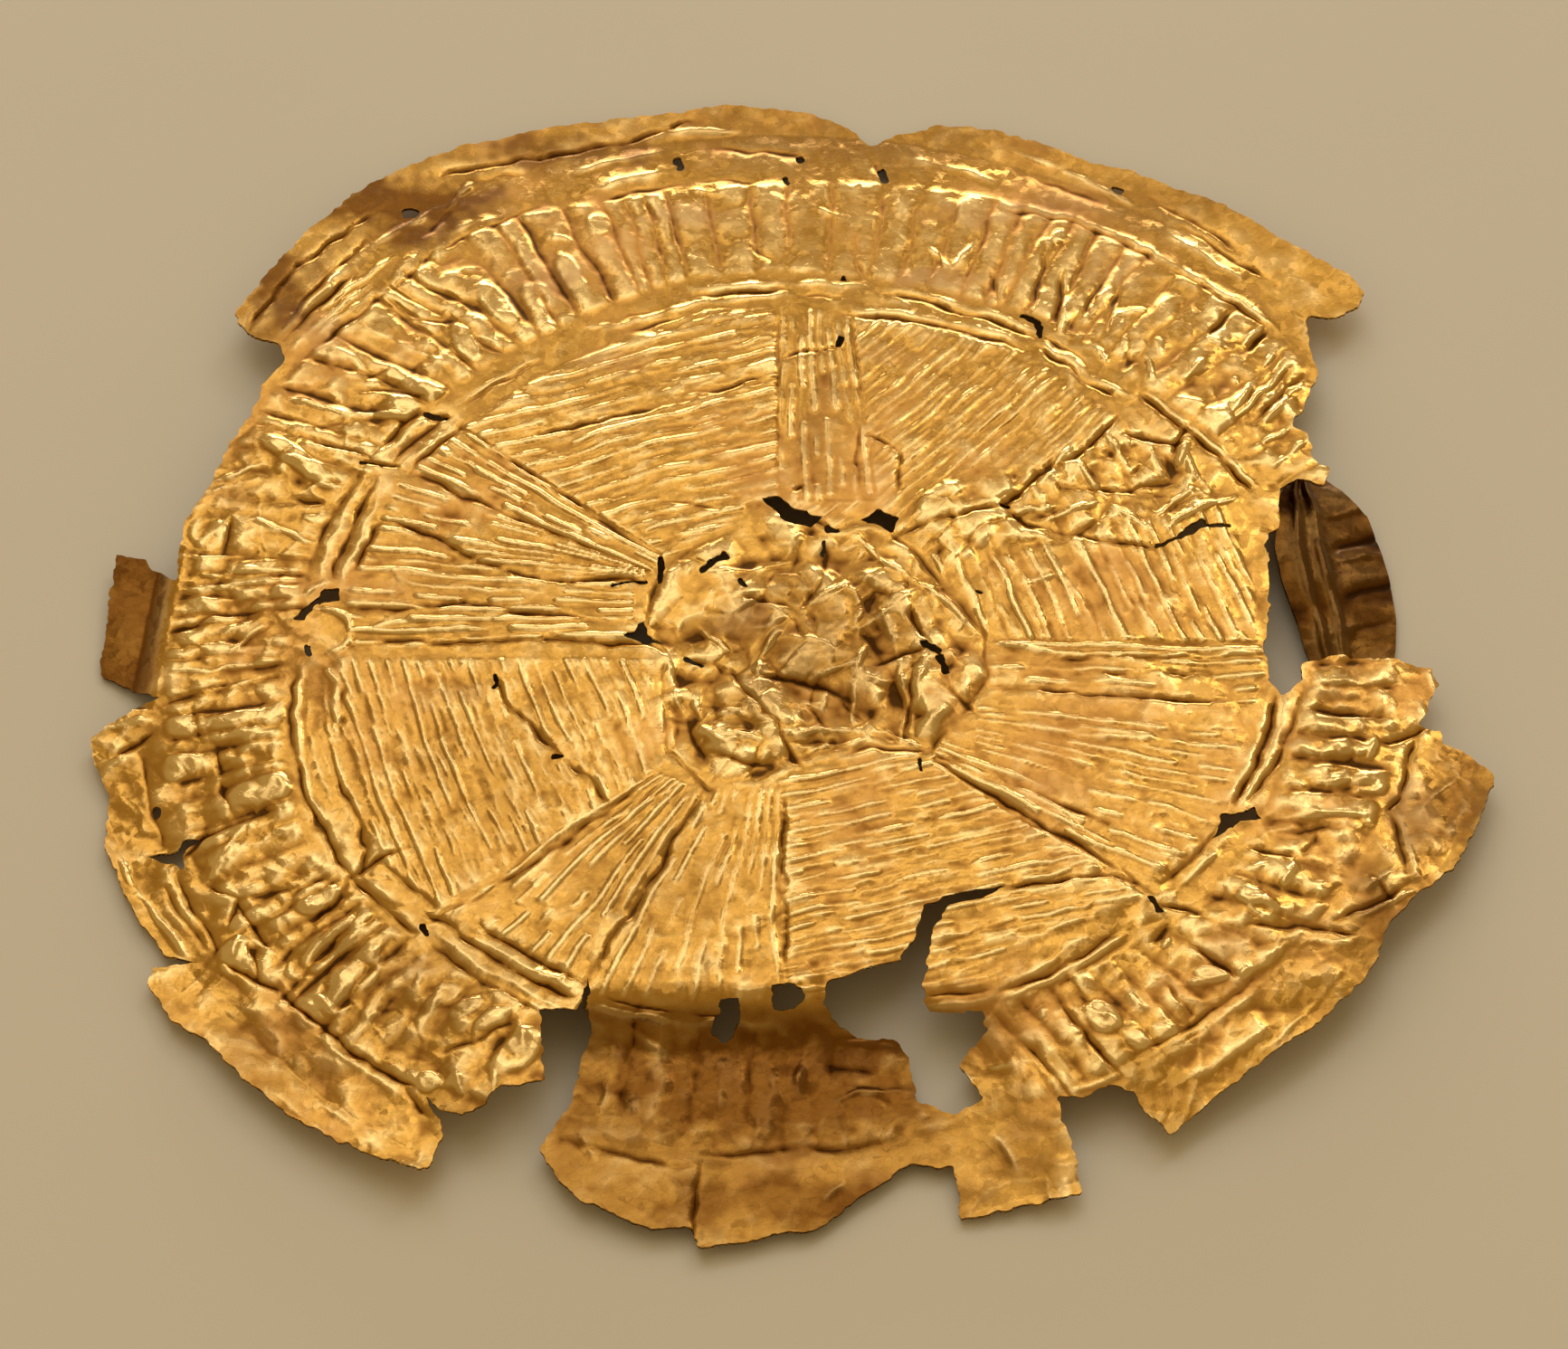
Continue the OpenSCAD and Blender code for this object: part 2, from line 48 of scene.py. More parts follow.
# %% [markdown]
# All places on the sheet are read in a flat plan, in millimetres, as the camera sees it on a level
# plane three millimetres up. A place that is really higher or lower slides forward or back in that
# plan, by the slide below for each millimetre, so that it stays where it was read when it is seen
# from the camera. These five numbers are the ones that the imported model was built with.
# %% Plan and model
FOIL = 0.15
SLIDE = 0.78
PLAN_HEIGHT = 3
BOX_CENTRE = (0.2, 2.66)
LOWEST = -0.17
# Half the foil's thickness and a little more: its middle surface stays this far above the floor
CLEAR = 0.6 * FOIL


def in_metres(x, y, height, relief):
    """Place in the model, in metres: the plan less its centre, slid by the broad height alone, and
    lifted by the broad height and the relief, but never into the floor."""
    back = y - SLIDE * (height - PLAN_HEIGHT) - BOX_CENTRE[1]
    up = np.maximum(height + relief - LOWEST, CLEAR)
    return np.stack([x - BOX_CENTRE[0], back, up], axis=-1) * MM


# %% [markdown]
# A long lens from well above the front edge gives the oval outline and almost no perspective. The
# camera looks down by 52 degrees, from 424 mm away.
# %% Camera
CAMERA_AT = (-0.18, -262.96, 335.33)
LOOKS_DOWN = 52
LENS = 219.16
FILM_WIDTH = 36
camera = bpy.data.objects.new("camera", bpy.data.cameras.new("camera"))
bpy.context.collection.objects.link(camera)
camera.location = [value * MM for value in CAMERA_AT]
camera.rotation_euler = (math.radians(90 - LOOKS_DOWN), 0, 0)
camera.data.lens = LENS
camera.data.sensor_width = FILM_WIDTH
bpy.context.scene.camera = camera
print("Camera", round(math.dist(CAMERA_AT, (0, 0, 3))), "mm from the sheet")

# %% [markdown]
# The floor is a plain, pale square, three metres to a side, so that its edges are out of sight. It
# is part of the stage, not of the object.
# %% Floor
FLOOR_SIDE = 3.0


def flat_floor(side):
    """A square of one face, level, with its middle at the origin."""
    half = side / 2
    mesh = bpy.data.meshes.new("floor")
    corners = [(-half, -half, 0), (half, -half, 0), (half, half, 0), (-half, half, 0)]
    mesh.from_pydata(corners, [], [(0, 1, 2, 3)])
    floor = bpy.data.objects.new("floor", mesh)
    bpy.context.collection.objects.link(floor)
    return floor


floor = flat_floor(FLOOR_SIDE)

# %% [markdown]
# Gold shows what it mirrors, so the lights are what the sheet sees. A wide dim panel hangs behind
# and above, where the level parts of the sheet mirror it into the camera. Six small panels in front
# of it are a little brighter, so that facets which differ by a few degrees differ in tone. A low
# wide panel is mirrored only by steeper slopes that face away: it draws a bright line along the far
# side of each stroke. One at the right does the same for the strokes that run across. A panel
# overhead lights the floor and the slopes that face the camera, and the room itself is dim and
# golden, so that a crease which mirrors nothing else stays warm.
# %% Lights
WARM_WHITE = (1.0, 0.95, 0.86)
WARM = (1.0, 0.94, 0.84)
WARMER = (1.0, 0.93, 0.8)
# name: turn to the right of straight behind and height over the floor, in degrees, distance, width
# and height in mm, brightness in watts per square metre and steradian, colour
LIGHTS = {
    "back_panel": (-8, 51, 545, 430, 430, 0.31, WARM_WHITE),
    "small_panel_middle": (3, 57, 540, 120, 120, 0.58, WARM_WHITE),
    "small_panel_left": (-27, 50, 540, 180, 170, 0.8, WARM_WHITE),
    "small_panel_right": (23, 57, 540, 150, 190, 0.6, WARM_WHITE),
    "small_panel_low_left": (-13, 36, 540, 110, 110, 0.55, WARM_WHITE),
    "small_panel_low_right": (15, 40, 540, 110, 110, 0.55, WARM_WHITE),
    "small_panel_high": (-14, 70, 540, 130, 130, 0.6, WARM_WHITE),
    "low_panel": (2, 6, 520, 330, 115, 5.0, WARM),
    "side_panel": (34.7, 42, 507, 120, 120, 2.7, WARM),
    "top_panel": (-40, 83, 527, 320, 320, 0.52, WARMER),
}
ROOM_COLOUR = (1.0, 0.71, 0.3, 1)
ROOM_STRENGTH = 0.4


def soft_panel(name, turn, height, distance, width, tall, brightness, colour):
    """An area light that faces the middle of the sheet. Its power is pi times its area times its
    brightness."""
    lamp = bpy.data.lights.new(name, "AREA")
    lamp.shape = "RECTANGLE"
    lamp.size, lamp.size_y = width * MM, tall * MM
    lamp.energy = math.pi * width * tall * MM ** 2 * brightness
    lamp.color = colour
    panel = bpy.data.objects.new(name, lamp)
    bpy.context.collection.objects.link(panel)
    turn, height = math.radians(turn), math.radians(height)
    level = distance * math.cos(height)
    place = (level * math.sin(turn), level * math.cos(turn), distance * math.sin(height))
    panel.location = [value * MM for value in place]
    panel.rotation_euler = (math.pi / 2 - height, 0, math.pi - turn)
    return panel


for name, row in LIGHTS.items():
    soft_panel(name, *row)
room = bpy.data.worlds.new("room")
room.use_nodes = True
background = room.node_tree.nodes["Background"]
background.inputs["Color"].default_value = ROOM_COLOUR
background.inputs["Strength"].default_value = ROOM_STRENGTH
bpy.context.scene.world = room
bpy.context.scene.view_settings.view_transform = "Standard"
print("Lights:", ", ".join(LIGHTS))

# %% [markdown]
# The sheet is measured at the crossings of a square grid, more than eleven to the millimetre. Every
# shape below is a formula on these two arrays of plan coordinates, x to the right and y away from
# the camera, so there is no loop over vertices.
# %% Grid
PITCH = 0.09
LOW_X, LOW_Y = -32.0, -33.0
SQUARES_X, SQUARES_Y = 722, 750
GRID_X = LOW_X + PITCH * np.arange(SQUARES_X + 1)
GRID_Y = LOW_Y + PITCH * np.arange(SQUARES_Y + 1)
X, Y = np.meshgrid(GRID_X, GRID_Y)
RADIUS = np.hypot(X, Y)
ANGLE = np.degrees(np.arctan2(Y, X)) % 360
print("Grid of", SQUARES_X, "by", SQUARES_Y, "squares")

# %% [markdown]
# A few small tools come back again and again. The first are a smooth step, a blend, and noise for
# what is uneven. The noise is worked out from places and a seed alone, so each run gives the same.
# %% Steps and noise


def smooth(t):
    """Smooth step: 0 below 0, 1 above 1, and 3 t squared less 2 t cubed between."""
    t = np.clip(t, 0, 1)
    return t * t * (3 - 2 * t)


def blend(a, b, t):
    """A straight line from a, where t is 0, to b, where t is 1."""
    return a + (b - a) * t


def scattered(i, j, seed):
    """A number from 0 to 1 that seems random, for each pair of whole numbers: the fraction of a
    large multiple of a sine."""
    value = np.sin(i * 127.1 + j * 311.7 + seed * 74.7) * 43758.5453
    return value - np.floor(value)


def waves(x, y, seed):
    """Soft uneven waves from -1 to 1: a scattered number at each whole place, joined by smooth
    steps along x and y."""
    i, j = np.floor(x), np.floor(y)
    s, t = smooth(x - i), smooth(y - j)
    near = blend(scattered(i, j, seed), scattered(i + 1, j, seed), s)
    far = blend(scattered(i, j + 1, seed), scattered(i + 1, j + 1, seed), s)
    return 2 * blend(near, far, t) - 1


# %% [markdown]
# Crumpled foil isn't smooth: it has flat facets with sharp folds between them. Random heights at the
# corners of a net of triangles, each filled by a flat one, give exactly that. Ribs and pressed lines
# are counted off by whole numbers, so that bending the count bends them all.
# %% Facets and lines
# Tangent of 30 degrees, and twice that: they make a square net one of equal triangles
LEAN, STRETCH = 0.57735, 1.1547


def facets(x, y, size, seed):
    """Flat facets with sharp folds, from -1 to 1: scattered heights at the corners of a net of
    equal triangles, bent by long waves, and a plane through each triangle's corners."""
    x, y = x / size, y / size
    bent_x = x + 0.6 * waves(x * 0.4, y * 0.4, seed + 5)
    bent_y = y + 0.6 * waves(x * 0.4, y * 0.4, seed + 6)
    a, b = bent_x - bent_y * LEAN, bent_y * STRETCH
    i, j = np.floor(a), np.floor(b)
    s, t = a - i, b - j
    low = s + t < 1
    right, back = scattered(i + 1, j, seed), scattered(i, j + 1, seed)
    corner = np.where(low, scattered(i, j, seed), scattered(i + 1, j + 1, seed))
    from_right, from_back = np.where(low, s, 1 - t), np.where(low, t, 1 - s)
    return 2 * (corner + (right - corner) * from_right + (back - corner) * from_back) - 1


def sharp_lines(x, y, size, seed, share=0.1):
    """Sharp creases that run straight and turn at corners, 1 on a crease: a falling exponential of
    the size of the facets' value, so that a crease lies wherever that value passes 0. Waves make
    the creases come and go, so that none closes in a ring."""
    comes = smooth(0.5 + 1.6 * waves(x / size, y / size, seed + 9))
    return comes * np.exp(-np.abs(facets(x, y, size, seed)) / share)


def folded_ridges(count, seed):
    """Folded foil, one ridge for each whole number: straight up from 0 to a crest at 1 and straight
    down again. Each crest's place is scattered, from near one side to near the other."""
    row = np.floor(count)
    crest = 0.2 + 0.6 * scattered(row, 2, seed)
    t = count - row
    return np.minimum(t / crest, (1 - t) / (1 - crest))


def pressed_lines(count, rise, fall):
    """Pressed lines with level foil between them, one for each whole number: up from 0 to 1 over
    one share of the way to the next line, and down again over another."""
    t = count - np.floor(count) - 0.5
    return np.clip(np.minimum((t + rise) / rise, (fall - t) / fall), 0, 1)


# %% [markdown]
# The outline, the ring and the core are rings of corners, read from the sheet. What lies on which
# side of them, and how far, is found for every place of the grid at once, one side of the ring
# after the other.
# %% Distances


def to_line(x, y, x1, y1, x2, y2):
    """Distance to a line between two ends, and how far along it the nearest place is, 0 to 1."""
    dx, dy = x2 - x1, y2 - y1
    t = np.clip(((x - x1) * dx + (y - y1) * dy) / (dx * dx + dy * dy), 0, 1)
    return np.hypot(x - x1 - t * dx, y - y1 - t * dy), t


def to_ring(x, y, ring, values=None):
    """Distance to a closed ring of corners, less than 0 inside. Where the corners have values, the
    value at the nearest place comes too."""
    nearest = np.full_like(x, 1e3)
    inside = np.zeros(x.shape, bool)
    found = np.zeros_like(x)
    for k, (x1, y1) in enumerate(ring):
        after = (k + 1) % len(ring)
        x2, y2 = ring[after]
        away, t = to_line(x, y, x1, y1, x2, y2)
        if values is not None:
            found = np.where(away < nearest, blend(values[k], values[after], t), found)
        nearest = np.minimum(nearest, away)
        if y1 != y2:
            inside ^= ((y1 > y) != (y2 > y)) & (x < x1 + (y - y1) * (x2 - x1) / (y2 - y1))
    signed = np.where(inside, -nearest, nearest)
    return signed if values is None else (signed, found)


# %% [markdown]
# The outline is the torn edge itself, read corner by corner. Inside it are tears and holes, some as
# rings of corners and the smallest as short slits.
# %% Torn outline
# x, y
OUTLINE = [
    [-25.1, 20.1], [-23, 23.6], [-22, 25], [-20, 27.2], [-18, 28.8], [-15, 30.3], [-11, 31.5],
    [-6, 32.2], [-2.5, 32.9], [1, 32.4], [2.6, 31.8], [4.1, 30.4], [5.3, 31], [7, 31.6], [9.5, 31.4],
    [12, 30.5], [14.6, 29.3], [16.4, 28.8], [17.8, 27.9], [20.3, 26.8], [22, 25.4], [24, 23.8],
    [26, 22.4], [26.6, 21.4], [26.3, 20.6], [25.3, 19.8], [24, 19.9], [23.8, 19], [24.3, 16.4],
    [23.2, 13.9], [23, 13.4], [23.7, 13], [23.8, 11.3], [24.5, 10.8], [24.4, 9.8], [23, 10.3],
    [22.2, 9.7], [22.1, 7.5], [21.6, 7.2], [21.6, 3.2], [21.3, 0.4], [21.4, -1.2], [22, -2.1],
    [22.9, -1.2], [23, -0.3], [24.2, 0.2], [27.2, 0], [28.8, -0.5], [29, -1.5], [28.4, -3], [28, -3.7],
    [29, -4.1], [29, -4.8], [30.2, -5.3], [31.3, -6.5], [30.4, -9.4], [29.3, -11.6], [27.6, -12.9],
    [26.1, -14.8], [25.8, -16.2], [24.9, -17.7], [22.7, -20.1], [19.7, -22.6], [17.6, -24.7],
    [16.6, -25.7], [15.4, -24.4], [15, -23.4], [14, -23.1], [12.9, -23.8], [11.8, -23.8], [11.9, -25],
    [12.5, -26.8], [12.7, -28.9], [11, -29.4], [7.6, -30.3], [7.3, -27.6], [5.5, -27.4], [3.4, -29],
    [1.5, -30.7], [-1.8, -31.4], [-3.6, -31.7], [-3.9, -30.6], [-5.5, -30.7], [-8.5, -29.4],
    [-9.4, -28.4], [-10.4, -26.8], [-10.1, -25.8], [-9.2, -24.4], [-8.6, -21.6], [-8.2, -20.4],
    [-8.5, -19], [-8.3, -17.2], [-8.9, -19.1], [-10.5, -19.2], [-10.3, -22.8], [-12.4, -23.4],
    [-12.8, -24.2], [-13.8, -24.6], [-14.6, -24.4], [-15.4, -23.6], [-14.7, -25], [-14.6, -26],
    [-15, -27.3], [-15.6, -27.6], [-18, -26.6], [-21.2, -24.8], [-23.5, -22.6], [-25, -20.8],
    [-26.4, -19.8], [-27.6, -17.8], [-27.3, -17], [-25.5, -16.7], [-26.8, -16.3], [-28.2, -14.3],
    [-29, -12.4], [-29.8, -10.4], [-29.7, -7.6], [-30.5, -5.5], [-30.6, -4.5], [-29.6, -3.5],
    [-28.4, -2.6], [-27.5, -2.2], [-28.6, -1.9], [-30.4, -0.9], [-30.3, 1.5], [-30, 6], [-28.6, 5.7],
    [-28.3, 5.1], [-27.1, 4.5], [-27, 6.5], [-26.8, 8], [-25.9, 9.7], [-25, 12.4], [-24, 14.2],
    [-23.6, 15.8], [-22.7, 17.1], [-22.8, 18.1], [-24.4, 18.9],
]
# name: x, y of each corner
TEARS = {
    "front_gap": [[1.7, -18.7], [1.9, -17.6], [3.3, -17.1], [5, -16.4], [5.7, -15.2], [6.1, -13.6],
                  [7.4, -12.9], [9.6, -12.5], [8.6, -13.2], [7.2, -13.6], [6.5, -14.8], [6, -17.6],
                  [6.2, -19.2], [8.6, -19.3], [8.8, -20.3], [7.5, -22.2], [8.6, -24], [7.3, -24.8],
                  [5.8, -24.2], [5.3, -21.6], [4.9, -20.8], [3.2, -20.7], [2.4, -20]],
    "hinge_hole_left": [[-3.1, -20.5], [-2.7, -18.5], [-1.9, -18.5], [-1.9, -19.8], [-2.4, -21]],
    "hinge_hole_right": [[-0.5, -17.7], [0.5, -17.7], [1, -18.4], [0.4, -19.1], [-0.5, -19.1]],
    "core_tear": [[-1.1, 9.2], [-0.2, 9.3], [0.5, 8.6], [1.7, 8.1], [1.3, 7.6], [0.1, 7.7],
                  [-0.4, 8.5]],
    "core_tear_right": [[3.4, 7.9], [4.2, 8.5], [5.1, 8], [4.9, 7.1], [4.3, 7.7]],
    "core_hole_left": [[-7.2, 1.3], [-6.5, 1.6], [-6.3, 2.1], [-6, 1.5], [-5.2, 0.9], [-6.2, 1.0]],
    "left_hole": [[-25.3, -9.7], [-26.2, -10.4], [-26.2, -11.6], [-27.8, -11], [-26.6, -10.6],
                  [-26.3, -10]],
    "ring_hole_left": [[-21.7, 2.2], [-21.4, 2.8], [-20.3, 3.9], [-19.8, 4.1], [-19.7, 3.3],
                       [-20.7, 3.1], [-21.3, 2.1]],
    "ring_hole_right": [[19.2, -8.5], [20.1, -8.5], [20.6, -8.2], [20.9, -8.8], [20, -9], [18.6, -9.9]],
}
# Slits and sewing holes: x, y of one end, x, y of the other, half width
SLITS = [
    [-3.6, 5.0, -2.6, 5.8, 0.18], [-5.5, 5.7, -5.4, 4.4, 0.16], [-1.85, 4.5, -1.75, 4.0, 0.13],
    [-4.3, 0.1, -3.6, -0.2, 0.14], [6.2, 0.9, 6.7, 0.5, 0.2], [6.85, 0.1, 7.15, -0.8, 0.17],
    [1.9, 7.5, 2.3, 7.3, 0.17], [1.8, 6.8, 1.8, 6.0, 0.1], [-21.15, 0.75, -21.0, 0.3, 0.17],
    [-12.65, -1.0, -12.75, -1.7, 0.12], [-27.6, -8.4, -27.5, -8.6, 0.2],
    [-15.6, -14.7, -15.4, -15.1, 0.15], [15.9, -13.1, 16.3, -13.8, 0.15],
    [16.7, 6.5, 17.8, 7.0, 0.12], [17.8, 7.0, 18.7, 7.75, 0.22], [18.7, 7.6, 19.9, 7.6, 0.13],
    [2.45, 18.2, 2.6, 18.5, 0.16], [10.9, 19.9, 11.6, 19.5, 0.16], [11.6, 19.3, 11.7, 18.7, 0.15],
    [9.7, 8.75, 9.95, 8.7, 0.15], [8.5, 3.85, 8.7, 3.75, 0.12], [-10.1, -5.4, -9.8, -5.4, 0.13],
    [-16.2, 14.0, -15.2, 13.85, 0.14], [-18.9, 11.2, -18.2, 11.1, 0.12],
    [-17.35, 26.1, -17.1, 26.1, 0.3], [-4.95, 29.5, -4.75, 28.9, 0.18],
    [0.7, 29.6, 0.75, 29.4, 0.16], [0.05, 28.3, 0.1, 28.0, 0.14], [4.55, 28.7, 4.65, 28.2, 0.2],
    [15.3, 27.65, 15.6, 27.5, 0.2], [2.7, 22.1, 2.8, 22.0, 0.14], [-7.6, 4.15, -6.2, 4.4, 0.1],
    [5.95, -5.6, 6.05, -6.1, 0.1],
]


def open_distance(x, y):
    """Distance into the open: less than 0 on the sheet, more than 0 off its edge and in its tears.
    The torn edge wavers by a tenth of a millimetre."""
    x = x + 0.1 * waves(x * 2.3, y * 2.3, 1) + 0.05 * waves(x * 5.1, y * 5.1, 2)
    y = y + 0.1 * waves(x * 2.1, y * 2.1, 3) + 0.05 * waves(x * 4.7, y * 4.7, 4)
    away = to_ring(x, y, OUTLINE)
    for ring in TEARS.values():
        away = np.maximum(away, -to_ring(x, y, ring))
    for x1, y1, x2, y2, half in SLITS:
        away = np.maximum(away, half - to_line(x, y, x1, y1, x2, y2)[0])
    return away


OPEN = open_distance(X, Y)
print("Sheet of", round(float((OPEN < 0).sum()) * PITCH ** 2), "square mm")

# %% [markdown]
# The broad form is a low dome. Its rim doesn't lie in one plane: the table gives the height of the
# sheet's edge all round. The torn front flap has sunk, and a small tab on the left is bent down.
# %% Broad form
CROWN_HEIGHT = 3.6
CROWN_POWER = 2.4
RIM_RADIUS = 31
FLAP_SINK = 0.62
TAB_DROP = 0.9
TAB_HINGE = ((-27.3, 5.5), (-28.3, -2.2))
# y from which the flap sinks towards the front, and how far on it has sunk all the way
FLAP_HINGE = (-17.5, 4.6)
# x and y of a place on the slanted tear at the flap's left side, and how the tear leans
FLAP_TEAR = (-8.7, -19, 0.36)
# x from which the sheet rises again at the flap's right side, and how far on it has risen
FLAP_RIGHT = (6, 7)
# Height of the edge, every 15 degrees from the right round by the back
EDGE_HEIGHT = [0.9, 1.2, 1.5, 1.3, 0.5, 0.2, 0.2, 0.4, 0.8, 1.6, 1.8, 1.6,
               0.9, 0.3, 0.5, 0.9, 1.5, 1.9, 1.2, 0.5, 0.9, 1.6, 1.9, 1.3]


def around(angle, column):
    """A value at any angle, on a smooth closed curve through the column's even steps: cubics whose
    slopes follow the rows on both sides."""
    values = np.array(column)
    place = angle % 360 / 360 * len(values)
    i = np.floor(place).astype(int)
    t = place - i
    a, b, c, d = (values[(i + k) % len(values)] for k in (-1, 0, 1, 2))
    return b + t / 2 * (c - a + t * (2 * a - 5 * b + 4 * c - d + t * (3 * (b - c) + d - a)))


def flap_share(x, y):
    """1 on the sunken front flap, 0 elsewhere, with a smooth hinge between. Its left side follows a
    slanted tear."""
    tear = FLAP_TEAR[0] + FLAP_TEAR[2] * (y - FLAP_TEAR[1])
    sunk = smooth((FLAP_HINGE[0] - y) / FLAP_HINGE[1]) * smooth((x - tear + 0.3) / 0.8)
    return sunk * (1 - smooth((x - FLAP_RIGHT[0]) / FLAP_RIGHT[1]))


def tab_share(x, y):
    """1 on the bent tab at the left, 0 elsewhere, across a hinge line between two ends."""
    (x1, y1), (x2, y2) = TAB_HINGE
    hinge = blend(x2, x1, (y - y2) / (y1 - y2))
    return np.where((y > y2 - 0.6) & (y < y1 + 1), smooth((hinge + 0.5 - x) / 1.2), 0)


def broad_height(x, y):
    """Edge height, and from there up to the crown by one less a power of the radius."""
    edge = around(np.degrees(np.arctan2(y, x)), EDGE_HEIGHT)
    dome = 1 - np.minimum(np.hypot(x, y) / RIM_RADIUS, 1) ** CROWN_POWER
    height = edge + (CROWN_HEIGHT - edge) * dome
    return height * (1 - FLAP_SINK * flap_share(x, y)) - TAB_DROP * tab_share(x, y)


FLAP, TAB = flap_share(X, Y), tab_share(X, Y)
BROAD = broad_height(X, Y)
print("Broad form from", round(float(BROAD[OPEN < 0].min()), 2), "to", round(float(BROAD.max()), 2), "mm")

# %% [markdown]
# Three lines organise the pattern: the core's outline, the ring and the crease inside the rim. The
# maker drew the ring as a circle, but crumpling has turned it into straight runs between the ends
# of the arms. So the ring and the core are rings of corners. Round the core runs a groove, which is
# deeper at some corners than at others. From here on, every part of the pattern knows where it is
# by its distance from these three lines.
# %% Core, ring and crease
# x, y, strength of the groove
CORE = [
    [-6.4, 1.2, 1.0], [-5.9, 3.6, 0.8], [-5.5, 5.2, 1.1], [-3.2, 6.9, 0.6], [-1, 8.6, 0.9],
    [1.5, 7.8, 1.1], [2.2, 7.4, 0.8], [4.3, 7.9, 0.9], [6.2, 5.9, 0.7], [7.6, 3.6, 0.8],
    [8.9, 1.2, 0.9], [9, -1, 0.5], [7.6, -3.2, 0.5], [6.4, -5, 0.9], [3.8, -4.8, 0.9],
    [1, -5.8, 0.9], [-0.5, -6.9, 0.7], [-3.3, -7.1, 0.8], [-5.2, -5.1, 0.6], [-5.7, -2, 0.5],
    [-5.3, 0.2, 0.8],
]
# x, y
RING = [
    [0, 21.5], [5, 21], [11.4, 18.9], [15, 15.4], [18.2, 12.5], [20.6, 9.6], [21.9, 5],
    [22.4, -1.2], [20.2, -8.3], [18.3, -11.5], [16, -14.1], [12, -16.2], [8.5, -18.2], [1, -18.9],
    [-5, -18.9], [-8, -18.7], [-10.6, -17.7], [-15.2, -15.1], [-18.4, -11.8], [-20.4, -8.4],
    [-21.1, -4.5], [-21, 0.3], [-20.6, 3], [-20.1, 5.5], [-18.1, 10.8], [-15.3, 13.9],
    [-11.5, 17.2], [-7.5, 19.6], [-3.9, 21.2],
]
# Radius of the crease, every 15 degrees
CREASE_RADIUS = [27.4, 27.6, 29, 29.5, 29.4, 28.8, 28.3, 28.3, 29.2, 28.2, 27.9, 27.5,
                 27.6, 27.9, 28.6, 28.9, 27.6, 27.4, 26.9, 26.7, 26.6, 26.9, 27.4, 27.6]
# Half the width of the groove round the core, and its depth
GROOVE_HALF, GROOVE_DEPTH = 0.13, 0.13

core_away, core_strength = to_ring(X, Y, [row[:2] for row in CORE], [row[2] for row in CORE])
ring_away = to_ring(X, Y, RING)
crease_away = RADIUS - around(ANGLE, CREASE_RADIUS)
# The fields end this far inside the ring, and in front of y -16.4 they nearly reach it
RING_MARGIN = 0.9 - 0.8 * smooth(-16.4 - Y)
IN_FIELDS = smooth(core_away / 0.5) * smooth(-(ring_away + RING_MARGIN) / 0.5)
IN_BORDER = smooth((ring_away - 0.8) / 0.6) * smooth(-crease_away / 0.6)


def groove(away, depth, half):
    """One rounded groove along a line: a falling exponential of the distance from it."""
    return -depth * np.exp(-np.abs(away / half) ** 1.5)


wavering = 0.22 * waves(X * 0.3, Y * 0.3, 41) + 0.08 * waves(X * 1.3, Y * 1.3, 42)
depth = GROOVE_DEPTH * core_strength * smooth(0.5 + waves(X * 0.5, Y * 0.5, 46))
CORE_RELIEF = groove(core_away + 1.5 * wavering, depth, GROOVE_HALF)
print("The fields and arms cover", round(float(IN_FIELDS.sum()) * PITCH ** 2), "square mm")

# %% [markdown]
# Eight arms run from the core to the ring. Crumpling has parted some of them and flattened one, and
# nine fans of ribs are left. Each lies between two guide lines, one on each side. A rib's place is a
# share of the way from one guide to the other, so the ribs spread towards the ring as the real ones
# do. Long waves bend them, and they come and go, as a hand tool leaves them.
# %% Arms and fans
# x, y and x, y of one guide from the core out, the same for the other, ribs, height
FANS = [
    [-0.3, 9, -0.2, 18, 4.3, 8.4, 3.3, 18, 8, 0.06],
    [8.8, 1.1, 21.4, 1, 8.6, -2.1, 21.8, -2.6, 5, 0.075],
    [6.9, -4.5, 20.3, -8.7, 5.7, -5.3, 16.2, -13.4, 5, 0.08],
    [-0.1, -7, 0, -18.2, -3.4, -7.1, -8.3, -17.8, 9, 0.05],
    [-3.6, -7.2, -8.8, -17.8, -5.4, -6, -15.6, -14.2, 9, 0.055],
    [-6.6, 1.1, -20.8, 0.5, -6.2, 4.5, -19.8, 5.4, 7, 0.085],
    [-5.9, 4.9, -17.6, 11.2, -5.3, 5.9, -15.2, 13.9, 5, 0.085],
    [8.6, -2.6, 21.5, -4, 7.2, -5.2, 19.5, -11, 10, 0.05],
    [-6.2, 4.6, -19.3, 5.4, -6, 5.2, -17.3, 10.6, 8, 0.08],
]
# How far a rib rises and falls across its crest, in mm
RIB_RISE, RIB_FALL = 0.13, 0.16


def beside(x, y, x1, y1, x2, y2):
    """Distance from the endless line through two places, more than 0 on its left."""
    return ((x2 - x1) * (y - y1) - (y2 - y1) * (x - x1)) / math.hypot(x2 - x1, y2 - y1)


